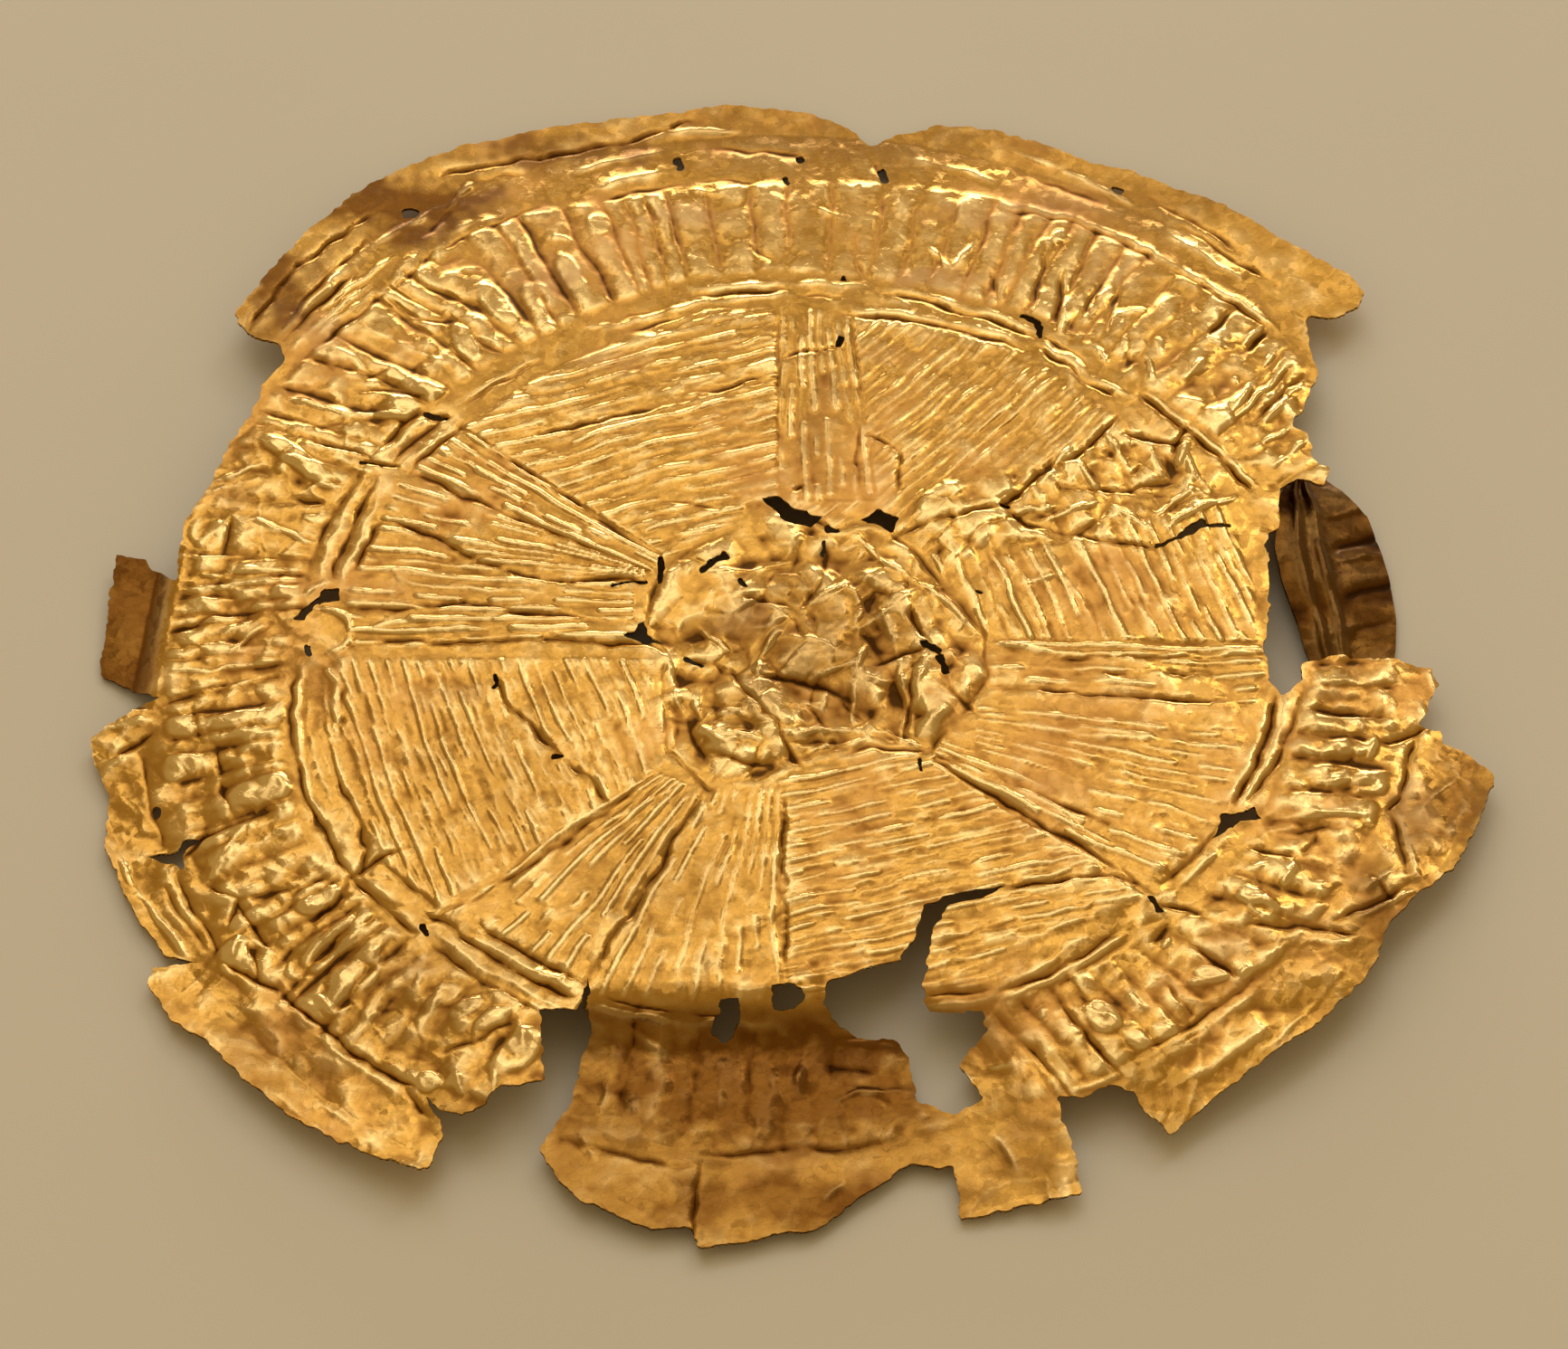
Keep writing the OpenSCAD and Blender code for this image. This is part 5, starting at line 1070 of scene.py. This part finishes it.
# %% [markdown]
# Dirt and tarnish stay in the valleys, and the crests are rubbed bright. The valleys are also
# darkened as painted shade, and the crests are painted pale as a highlight. How deep a place lies
# below the mean of its surroundings says which it is. Three sizes of surroundings count, so that
# narrow folds and wide dents both get dirt and painted shade. These numbers go with each vertex to
# the material.
# %% Hollows
# Grid steps to each side, mm below their mean that count as deep, share of the sum
SURROUNDINGS = [[12, 0.08, 0.35], [6, 0.08, 0.3], [3, 0.055, 0.35]]


def blurred(values, reach):
    """The mean over a square of this many grid steps to each side, from running totals."""
    for axis in (0, 1):
        margins = [(reach + 1, reach) if k == axis else (0, 0) for k in (0, 1)]
        wide = np.pad(values, margins, mode="edge")
        total = np.cumsum(wide, axis=axis)
        size = values.shape[axis]
        upper = np.take(total, range(2 * reach + 1, 2 * reach + 1 + size), axis=axis)
        lower = np.take(total, range(0, size), axis=axis)
        values = (upper - lower) / (2 * reach + 1)
    return values


depths = [part * ((blurred(RELIEF, reach) - RELIEF) / deep) for reach, deep, part in SURROUNDINGS]
HOLLOW = 0.5 + 0.5 * np.clip(sum(depths), -1, 1)
print("Deep hollows:", round(100 * float((HOLLOW[OPEN < 0] > 0.9).mean())), "percent of the sheet")

# %% [markdown]
# Some parts are painted brown all over. The tab, which mirrors the dark room, and the flap with its
# hinge, which faces forward in the sheet's shadow, are painted shade. A stretch of rim and more are
# darker in tone, partly as painted shade. Others have greyish stains. Both are patches with uneven
# edges, in places read from the sheet.
# %% Brown and shaded parts, and stains
# Patches painted brown where the sheet is darker in tone, partly as painted shade
# x, y, reach along x, reach along y, strength
BROWN_AND_SHADE_PATCHES = [
    [-18, 26.5, 6, 2.4, 0.95], [-23.2, 21.5, 1.8, 3.4, 0.9], [-10, 29.8, 6, 1.5, 0.8],
    [-0.5, -23, 7.5, 3.4, 0.45], [2, -29.3, 9, 1.6, 0.42], [30, -8, 2, 3.8, 0.75],
    [1.6, 0.8, 6, 6, 0.48], [-13, -24.4, 2.2, 1, 0.4], [-22, -21.5, 3.4, 2.6, 0.3],
    [10.5, -26.5, 2.4, 2.8, 0.55], [23.6, 5, 2, 5, 0.2], [27.8, -9.6, 1.4, 3, 0.5],
    [2, 31, 14, 2.2, 0.5], [18, 27, 8, 2.4, 0.42], [26, -14.6, 2.4, 4, 0.75],
    [1.6, 13.6, 1.4, 4, 0.3], [-5, -12.6, 4.6, 4.6, 0.26], [-16, -18.6, 5, 4.4, 0.26],
    [24, -4, 2.4, 5, 0.22], [-13, -6.4, 5, 5, 0.16], [-13, 4, 6, 3.4, 0.14],
]
STAINS = [
    [-11, 22, 2.6, 1.4, 0.8], [-4.5, 26, 2.4, 0.9, 0.7], [9, 26, 3.4, 1.1, 0.6],
    [7, 22.2, 2.6, 0.8, 0.8], [-1.5, 2, 1.8, 1.2, 0.6], [3, -22, 2.4, 1, 0.6],
    [27.5, -8.5, 1.2, 2.2, 0.5], [-8, 17.2, 2.2, 0.8, 0.5], [-21, 19, 1.4, 1.2, 0.6],
    [15, 22.6, 2, 1.2, 0.5], [-14, -2, 1, 0.7, 0.4], [-25, 9.4, 1.2, 0.9, 0.4],
    [4.6, 17.6, 1.6, 0.7, 0.4], [12, -7, 1.8, 0.8, 0.35], [-16, -17, 1.4, 1, 0.4],
    [19, -15.6, 1.6, 1, 0.4],
]


def patches_at(x, y, rows):
    """The strongest patch at each place: its strength times a smooth step of the distance from its
    middle over its reach. Waves make the edges uneven."""
    total = np.zeros_like(x)
    uneven = 0.35 * waves(x * 0.9, y * 0.9, 61) + 0.25 * waves(x * 2.3, y * 2.3, 62)
    for middle_x, middle_y, reach_x, reach_y, strength in rows:
        away = np.hypot((x - middle_x) / reach_x, (y - middle_y) / reach_y)
        total = np.maximum(total, strength * smooth(1.25 - away + uneven))
    return total


# The flap is painted brown as shade from its hinge on, where it faces forward in the sheet's shadow,
# less so at its rim, and not on the bright scrap at its right
FLAP_SHADE = 0.66 * smooth((FLAP - 0.05) / 0.3) * smooth((10.5 - X) / 5) * (1 - 0.25 * ON_RIM)
# The tab is painted brown as shade: it is bent down and mirrors the dark room
BROWN_AND_SHADE_SHARE = np.clip(0.9 * TAB + FLAP_SHADE + patches_at(X, Y, BROWN_AND_SHADE_PATCHES), 0, 1)
STAINED = patches_at(X, Y, STAINS)
print("Brown parts:", round(100 * float((BROWN_AND_SHADE_SHARE[OPEN < 0] > 0.4).mean())), "percent of the sheet")

# %% [markdown]
# The mesh follows the torn edge, not the squares of the grid. Each square that the edge crosses is
# cut where the open distance is 0. With four corners there are sixteen cases, and each is a short
# list of triangles. The squares of one case are all done at once. The underside is hardly seen, so
# away from the edges four of its squares are one face.
# %% Cutting out


def unit_normals(places):
    """At each place the cross product of the way to the right and the way back, made 1 long."""
    normals = np.cross(np.gradient(places, axis=1), np.gradient(places, axis=0))
    return normals / np.linalg.norm(normals, axis=-1, keepdims=True)


NORMALS = unit_normals(PLACES)
# Corners of a square, counted from the front left: 0 to 3. Cuts of its sides, from the front: 4 to 7.
FRONT, RIGHT, BACK, LEFT = 4, 5, 6, 7
CASES = {
    1: [(0, FRONT, LEFT)], 2: [(1, RIGHT, FRONT)], 4: [(2, BACK, RIGHT)], 8: [(3, LEFT, BACK)],
    3: [(0, 1, RIGHT), (0, RIGHT, LEFT)], 6: [(1, 2, BACK), (1, BACK, FRONT)],
    12: [(2, 3, LEFT), (2, LEFT, RIGHT)], 9: [(3, 0, FRONT), (3, FRONT, BACK)],
    5: [(0, FRONT, LEFT), (2, BACK, RIGHT)], 10: [(1, RIGHT, FRONT), (3, LEFT, BACK)],
    7: [(0, 1, 2), (0, 2, BACK), (0, BACK, LEFT)], 14: [(1, 2, 3), (1, 3, LEFT), (1, LEFT, FRONT)],
    13: [(2, 3, 0), (2, 0, FRONT), (2, FRONT, RIGHT)], 11: [(3, 0, 1), (3, 1, RIGHT), (3, RIGHT, BACK)],
}
WHOLE = 15
# Shares of a side between which a cut may lie, so that no triangle is a sliver
CUT_LIMITS = (0.12, 0.88)


def four_as_one(number, whole):
    """Faces of the blocks of two by two whole squares, and the squares that no block takes. Where
    the block next to a side is no such face, that side's middle place is a corner too, so that no
    gap opens."""
    block = whole[0::2, 0::2] & whole[1::2, 0::2] & whole[0::2, 1::2] & whole[1::2, 1::2]
    around_it = np.pad(block, 1)
    beside_it = [around_it[:-2, 1:-1], around_it[1:-1, 2:], around_it[2:, 1:-1], around_it[1:-1, :-2]]
    corner = [number[:-2:2, :-2:2], number[:-2:2, 2::2], number[2::2, 2::2], number[2::2, :-2:2]]
    middle = [number[:-2:2, 1::2], number[1::2, 2::2], number[2::2, 1::2], number[1::2, :-2:2]]
    faces = []
    for code in range(16):
        split = [bool(code >> side & 1) for side in range(4)]
        these = block & np.logical_and.reduce([beside_it[side] != split[side] for side in range(4)])
        ring = [places for side in range(4) for places in [corner[side]] + [middle[side]] * split[side]]
        faces.append(np.stack([places[these] for places in ring], -1))
    return faces, whole & ~np.repeat(np.repeat(block, 2, axis=0), 2, axis=1)


def cut_net(away, chosen, layers):
    """Faces of both sides on the chosen squares where away is below 0, and the layers' values at
    their vertices: grid places first, then cuts of the sides to the right, then of the sides going
    back. Each cut lies where away would be 0 on its side, kept a little off the corners."""
    rows, columns = away.shape
    number = np.arange(rows * columns).reshape(rows, columns)
    corner = [number[:-1, :-1], number[:-1, 1:], number[1:, 1:], number[1:, :-1]]
    right_cut, back_cut = number + number.size, number + 2 * number.size
    slots = corner + [right_cut[:-1, :-1], back_cut[:-1, 1:], right_cut[1:, :-1], back_cut[:-1, :-1]]
    on = (away < 0).ravel()
    case = sum(on[corner[k]] * 2 ** k for k in range(4)) * chosen
    height = layers["places"][..., 2].ravel()
    front_left, front_right, back_right, back_left = (height[places] for places in corner)
    level = np.abs(front_left - back_right) < np.abs(front_right - back_left)

    def triangles_of(which, cut):
        return [np.stack([slots[k][which] for k in triangle], -1) for triangle in cut]

    def whole_squares(which):
        one_way = triangles_of(which & level, [(0, 1, 2), (0, 2, 3)])
        return one_way + triangles_of(which & ~level, [(0, 1, 3), (1, 2, 3)])

    at_edge = [faces for code, cut in CASES.items() for faces in triangles_of(case == code, cut)]
    upper = np.concatenate(whole_squares(case == WHOLE) + at_edge)
    blocks, left_over = four_as_one(number, case == WHOLE)
    lower = [np.concatenate(whole_squares(left_over) + at_edge)] + blocks
    used, upper = np.unique(upper, return_inverse=True)
    lower = [np.searchsorted(used, faces) for faces in lower]
    base, kind = used % number.size, used // number.size
    other = np.where(kind == 0, base, np.where(kind == 1, base + 1, base + columns))
    flat = away.ravel()
    share = np.where(kind == 0, 0, flat[base] / np.where(kind == 0, 1, flat[base] - flat[other]))
    share = np.where(kind == 0, 0, np.clip(share, *CUT_LIMITS))
    values = {}
    for name, layer in layers.items():
        column = layer.reshape(number.size, -1)
        values[name] = blend(column[base], column[other], share[:, None])
    return upper.reshape(-1, 3), lower, values


# %% [markdown]
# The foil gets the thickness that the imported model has. The upper side moves half of it up along
# the normals and the underside half of it down, and a wall joins both sides along every edge.
# %% Thickening


def open_sides(triangles, count):
    """Both ends of each side that has a triangle on one side only. A side is written as one number,
    so that the same side run the other way can be looked for in the list."""
    sides = np.concatenate([triangles[:, [0, 1]], triangles[:, [1, 2]], triangles[:, [2, 0]]])
    there, back = sides[:, 0] * count + sides[:, 1], sides[:, 1] * count + sides[:, 0]
    return sides[~np.isin(there, back)].T


def closed_foil(name, upper, lower, values, thickness):
    """A closed mesh: the net half a thickness up along its normals, its underside half a thickness
    down and turned over, and the walls."""
    normals = values["normals"] / np.linalg.norm(values["normals"], axis=-1, keepdims=True)
    half = normals * thickness / 2 * MM
    count = len(half)
    below = np.unique(np.concatenate([faces.ravel() for faces in lower]))
    under = np.zeros(count, int)
    under[below] = count + np.arange(len(below))
    a, b = open_sides(upper, count)
    walls = np.stack([a, under[a], under[b], b], -1)
    groups = [upper] + [under[faces[:, ::-1]] for faces in lower] + [walls]
    sizes = np.concatenate([np.full(len(faces), faces.shape[1]) for faces in groups])
    places = np.concatenate([values["places"] + half, (values["places"] - half)[below]])
    places[:, 2] = np.maximum(places[:, 2], 0)
    mesh = bpy.data.meshes.new(name)
    mesh.vertices.add(len(places))
    mesh.vertices.foreach_set("co", places.ravel())
    mesh.loops.add(int(sizes.sum()))
    mesh.loops.foreach_set("vertex_index", np.concatenate([faces.ravel() for faces in groups]))
    mesh.polygons.add(len(sizes))
    mesh.polygons.foreach_set("loop_start", np.concatenate([[0], np.cumsum(sizes)[:-1]]))
    mesh.update(calc_edges=True)
    mesh.polygons.foreach_set("use_smooth", np.arange(len(sizes)) < len(sizes) - len(walls))
    for layer in ("hollow", "browned", "stained"):
        attribute = mesh.attributes.new(layer, "FLOAT", "POINT")
        column = values[layer][:, 0]
        attribute.data.foreach_set("value", np.concatenate([column, column[below]]))
    mesh.normals_split_custom_set_from_vertices(np.concatenate([normals, -normals[below]]))
    piece = bpy.data.objects.new(name, mesh)
    bpy.context.collection.objects.link(piece)
    print(name, "has", int((sizes - 2).sum()), "triangles")
    return piece


# %% [markdown]
# The finish. Old gold is warm and a little red where it is thin. A Principled shader with full
# Metallic mirrors the room in its own colour. Roughness changes in patches, because rubbed crests
# shine and dirty hollows don't. Two sizes of tiny flat facets and a fine grain, all as bump, stand
# for what is finer than the mesh.
# %% Shader maths


class Value:
    """A socket that can be used in sums: each operator adds one Math node."""

    def __init__(self, tree, socket):
        self.tree = tree
        self.socket = socket

    def maths(self, operation, *others):
        inputs = dict(enumerate((self, *others)))
        return node(self.tree, "ShaderNodeMath", {"operation": operation}, inputs)

    def __add__(self, other):
        return self.maths("ADD", other)

    def __sub__(self, other):
        return self.maths("SUBTRACT", other)

    def __mul__(self, other):
        return self.maths("MULTIPLY", other)

    def __rsub__(self, other):
        return node(self.tree, "ShaderNodeMath", {"operation": "SUBTRACT"}, {0: other, 1: self})

    __radd__ = __add__
    __rmul__ = __mul__

    def clamped(self):
        return self.maths("MAXIMUM", 0.0).maths("MINIMUM", 1.0)

    def between(self, low, high):
        """0 below low, 1 above high, and a smooth step between."""
        settings = {"interpolation_type": "SMOOTHSTEP"}
        inputs = {"Value": self, "From Min": low, "From Max": high}
        return node(self.tree, "ShaderNodeMapRange", settings, inputs)


def node(tree, kind, settings=None, inputs=None, output=0):
    """Adds a node: its settings first, then the values or links of its sockets, by name or number.
    Returns the output socket as a Value."""
    made = tree.nodes.new(kind)
    for name, value in (settings or {}).items():
        setattr(made, name, value)
    for name, value in (inputs or {}).items():
        if isinstance(value, Value):
            tree.links.new(value.socket, made.inputs[name])
        else:
            made.inputs[name].default_value = value
    return Value(tree, made.outputs[output])


def mixed(tree, share, colour_a, colour_b):
    """A colour between two, by a share."""
    settings = {"data_type": "RGBA", "blend_type": "MIX", "clamp_factor": True}
    return node(tree, "ShaderNodeMix", settings, {0: share, 6: colour_a, 7: colour_b}, output=2)


# %% [markdown]
# The same recipe makes both finishes: bright gold for the sheet, which turns brown on its brown and
# shaded parts, and a darker brown for the loose fragment, painted shade for a smooth strip that
# mirrors the dark room.
# %% Gold
GOLD = (0.68, 0.382, 0.082, 1)
# Pale gold for rubbed crests, partly a painted highlight
PALE_GOLD = (1.0, 0.73, 0.32, 1)
# Dirt in the hollows, and painted shade there too
DIRT_AND_SHADE = (0.36, 0.155, 0.026, 1)
RED_GOLD = (0.6, 0.27, 0.085, 1)
STAIN = (0.46, 0.26, 0.13, 1)
# Brown for the brown and shaded parts: darker tone in patches, and painted shade on the tab and the flap
BROWN = (0.17, 0.06, 0.008, 1)
# Painted shade on the loose fragment, which mirrors the dark room
DARK_BROWN = (0.075, 0.024, 0.003, 1)
# Painted shade in the deepest creases
NEARLY_BLACK = (0.045, 0.018, 0.005, 1)
FLOOR_COLOUR = (0.8, 0.79, 0.78, 1)
# How many patches, blots, flecks and grains there are to the metre
PATCHES, BLOTS, FLECKS, GRAINS = 120.0, 420.0, 1100.0, 6000.0
# Size of the tiny facets in metres, and their slope
TINY_FACETS = [[0.0009, 0.04], [0.0004, 0.05]]
# Height of the grain in metres
GRAIN_HEIGHT = 0.000006


def noise(tree, where, scale, detail=3.0):
    """Soft noise from 0 to 1 in patches of 1 metre over the scale, with finer ones added."""
    inputs = {"Vector": where, "Scale": scale, "Detail": detail, "Roughness": 0.6, "Distortion": 0.0}
    return node(tree, "ShaderNodeTexNoise", {}, inputs)


def new_material(name):
    """A material, its node tree and its shader."""
    material = bpy.data.materials.new(name)
    material.use_nodes = True
    tree = material.node_tree
    return material, tree, tree.nodes["Principled BSDF"]


def cells(tree, where, size, tilt):
    """Tiny flat facets, each tilted its own way: in each cell of a Voronoi pattern, the cell's
    random colour less a half, dotted with the way from the cell's middle. Heights in metres."""
    pattern = tree.nodes.new("ShaderNodeTexVoronoi")
    pattern.inputs["Scale"].default_value = 1 / size
    tree.links.new(where.socket, pattern.inputs["Vector"])
    colour, middle = Value(tree, pattern.outputs["Color"]), Value(tree, pattern.outputs["Position"])
    way = node(tree, "ShaderNodeVectorMath", {"operation": "SUBTRACT"}, {0: where, 1: middle})
    tilts = node(tree, "ShaderNodeVectorMath", {"operation": "SUBTRACT"}, {0: colour, 1: (0.5,) * 3})
    dotted = {"operation": "DOT_PRODUCT"}
    return 2 * tilt * node(tree, "ShaderNodeVectorMath", dotted, {0: tilts, 1: way}, output=1)


def aged_and_shaded_gold(name, brown):
    """Gold with worn crests painted pale, partly as a painted highlight, grime and painted shade in the
    hollows, painted shade nearly black in the deepest creases, reddish patches, stains, this brown
    where the layer says so, partly as painted shade, and tiny facets and grain."""
    material, tree, shader = new_material(name)
    where = node(tree, "ShaderNodeTexCoord", {}, {}, output="Object")
    hollow, browned, stained = (
        node(tree, "ShaderNodeAttribute", {"attribute_name": layer}, {}, output="Fac")
        for layer in ("hollow", "browned", "stained"))
    patches = noise(tree, where, PATCHES, detail=4.0)
    blots = noise(tree, where, BLOTS)
    flecks = noise(tree, where, FLECKS)
    # Dirt and painted shade in the hollows, and painted shade nearly black in the deepest creases
    dirt_and_shade = (hollow + 0.3 * (flecks - 0.5)).between(0.52, 0.9)
    crease_shade = (hollow + 0.1 * (flecks - 0.5)).between(0.82, 1.0)
    # Rubbed crests are painted pale, partly as a painted highlight
    rubbed_and_highlit = (0.5 - hollow + 0.35 * (blots - 0.5)).between(-0.06, 0.34) * (1 - 0.6 * browned)
    tarnish = (patches + 0.3 * (blots - 0.5) + 0.2 * (hollow - 0.5)).between(0.5, 0.72)
    stain = (stained + 0.4 * (flecks - 0.5)).clamped()
    # Brown parts: darker tone in patches, and painted shade on the tab, the flap and the loose fragment
    dark = (browned * (1.1 - 0.25 * rubbed_and_highlit) + 0.7 * browned * (blots - 0.5)).clamped()
    colour = mixed(tree, rubbed_and_highlit, GOLD, PALE_GOLD)
    colour = mixed(tree, tarnish * 0.42, colour, RED_GOLD)
    colour = mixed(tree, stain * 0.65, colour, STAIN)
    colour = mixed(tree, dirt_and_shade * 0.85, colour, DIRT_AND_SHADE)
    colour = mixed(tree, dark * 0.9, colour, brown)
    colour = mixed(tree, crease_shade * 0.8, colour, NEARLY_BLACK)
    tree.links.new(colour.socket, shader.inputs["Base Color"])
    shader.inputs["Metallic"].default_value = 1.0
    rough = 0.2 + 0.14 * (flecks - 0.5) + 0.25 * dirt_and_shade + 0.14 * tarnish + 0.16 * stain + 0.1 * dark
    tree.links.new(rough.clamped().socket, shader.inputs["Roughness"])
    grain = noise(tree, where, GRAINS, detail=2.0)
    larger, smaller = (cells(tree, where, size, tilt) for size, tilt in TINY_FACETS)
    relief = larger + smaller + GRAIN_HEIGHT * grain
    bump = node(tree, "ShaderNodeBump", {}, {"Strength": 1.0, "Distance": 1.0, "Height": relief})
    tree.links.new(bump.socket, shader.inputs["Normal"])
    return material


def pale_and_matt(name):
    """The floor: matt, pale, with hardly any variation."""
    material, tree, shader = new_material(name)
    where = node(tree, "ShaderNodeTexCoord", {}, {}, output="Object")
    uneven = noise(tree, where, 40.0)
    lighter = tuple(1.06 * part for part in FLOOR_COLOUR[:3]) + (1,)
    tree.links.new(mixed(tree, uneven, FLOOR_COLOUR, lighter).socket, shader.inputs["Base Color"])
    shader.inputs["Roughness"].default_value = 0.9
    return material


gold_foil = aged_and_shaded_gold("gold_foil", BROWN)
dark_foil = aged_and_shaded_gold("dark_foil", DARK_BROWN)
floor.data.materials.append(pale_and_matt("pale_floor"))
print("Finishes:", gold_foil.name, "and", dark_foil.name)

# %% [markdown]
# The sheet is one piece of gold, and the model keeps it as one. Here it is laid out in several
# meshes, because each stays small enough to be written out whole. They meet along the core, the
# ring and a few straight grid lines, with the same vertices and normals, so no seam shows.
# %% Pieces of the sheet
LAYERS = {"places": PLACES, "normals": NORMALS, "hollow": HOLLOW, "browned": BROWN_AND_SHADE_SHARE, "stained": STAINED}
# y of the seams across the star and the border, and the left, right and back side of the flap's mesh
STAR_SEAM, BORDER_SEAM = 4, 8
FLAP_MESH = (-11.5, 10, -17)
square_x, square_y = GRID_X[:-1][None, :], GRID_Y[:-1][:, None]
everywhere = np.ones((SQUARES_Y, SQUARES_X), bool)
left, back = everywhere & (square_x < 0), everywhere & (square_y >= BORDER_SEAM)
on_flap = (square_x >= FLAP_MESH[0]) & (square_x < FLAP_MESH[1]) & (square_y < FLAP_MESH[2])
in_star = np.maximum(-core_away, ring_away)
PIECES = {
    "core": (core_away, everywhere),
    "star_back": (in_star, everywhere & (square_y >= STAR_SEAM)),
    "star_left": (in_star, left & (square_y < STAR_SEAM)),
    "star_right": (in_star, ~left & (square_y < STAR_SEAM)),
    "border_back_left": (-ring_away, back & left),
    "border_back_right": (-ring_away, back & ~left),
    "border_left": (-ring_away, ~back & ~on_flap & left),
    "border_right": (-ring_away, ~back & ~on_flap & ~left),
    "front_flap": (-ring_away, on_flap),
}
for name, (part_away, chosen) in PIECES.items():
    piece = closed_foil(name, *cut_net(np.maximum(OPEN, part_away), chosen, LAYERS), FOIL)
    piece.data.materials.append(gold_foil)
    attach(piece, "root")
    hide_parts("foil_disc")

# %% [markdown]
# The loose fragment under the right edge is a strip of the rim. Two sharp ridges run along it, some
# valleys cross its outer part, and its outer edge is the old edge of the disc. Its table gives rows
# across it, in the plan.
# %% Loose fragment
# y, x at the inner edge, x at the outer edge, height at the inner edge, height at the outer edge
FRAGMENT = [
    [10.6, 22.9, 24.2, 0.9, 0.6], [9.6, 22.4, 25.2, 1.2, 0.5], [8.2, 22.2, 26.3, 1.4, 0.4],
    [6.4, 22, 26.8, 1.5, 0.3], [4.4, 22.3, 27.2, 1.4, 0.2], [2.2, 22.9, 27.4, 1.1, 0.1],
    [0.6, 23.2, 27.3, 0.7, 0.1], [-0.6, 23.6, 27.1, 0.4, 0.1],
]
# Shares of the width at which the ridges run, their half width as a share, and their height
FRAGMENT_RIDGES = (0.22, 0.42)
RIDGE_HALF, RIDGE_HEIGHT = 0.045, 0.2
# y at which each valley or crest across it passes x 25, height
FRAGMENT_FOLDS = [[8.2, -0.08], [6.6, -0.18], [5.6, 0.06], [3.5, -0.2], [1.4, -0.07]]


def fragment_net(rows, across):
    """Places and values on a net of rows along the fragment and places across it. Between the
    table's rows everything is blended, and each ridge is a falling exponential of the distance
    from its share of the width."""
    table = np.array(FRAGMENT)
    along = np.linspace(0, len(table) - 1, rows)
    y, inner, outer, low, high = (np.interp(along, np.arange(len(table)), table[:, k]) for k in range(5))
    share = np.linspace(0, 1, across)[None, :]
    x = blend(inner[:, None], outer[:, None], share)
    y = y[:, None] + 0 * x
    height = blend(low[:, None], high[:, None], share)
    off_ridges = [np.abs((share - ridge) / RIDGE_HALF) for ridge in FRAGMENT_RIDGES]
    relief = sum(RIDGE_HEIGHT * np.exp(-off ** 1.4) for off in off_ridges)
    relief = relief * (1 + 0.4 * waves(x, y, 81))
    relief = relief + 0.1 * facets(x, y, 1.8, 82) + 0.03 * facets(x, y, 0.7, 83)
    for fold_y, fold_height in FRAGMENT_FOLDS:
        away = y - 0.3 * (x - 25) + 0.3 * waves(x, y, 84) - fold_y
        fold = fold_height * smooth((share - 0.5) / 0.15) * np.exp(-np.abs(away / 0.22) ** 1.3)
        relief = relief + fold
    return x, y, height, relief


fragment_x, fragment_y, fragment_height, fragment_relief = fragment_net(121, 49)
fragment_places = in_metres(fragment_x, fragment_y, fragment_height, fragment_relief)
# The table's rows run towards the camera, so the normals change their sign and the rows are turned
fragment_normals = -unit_normals(fragment_places)
fragment_hollow = np.clip(0.5 - fragment_relief / RIDGE_HEIGHT, 0, 1)
# The fragment is brown all over, painted shade for a strip that mirrors the dark room
fragment_layers = {
    "places": fragment_places[::-1], "normals": fragment_normals[::-1],
    "hollow": fragment_hollow[::-1], "browned": np.ones_like(fragment_hollow),
    "stained": np.zeros_like(fragment_hollow),
}
all_squares = np.ones((fragment_x.shape[0] - 1, fragment_x.shape[1] - 1), bool)
whole = np.full(fragment_x.shape, -1.0)
fragment = closed_foil("rim_fragment_skin", *cut_net(whole, all_squares, fragment_layers), FOIL)
fragment.data.materials.append(dark_foil)
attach(fragment, "root")
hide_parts("rim_fragment")
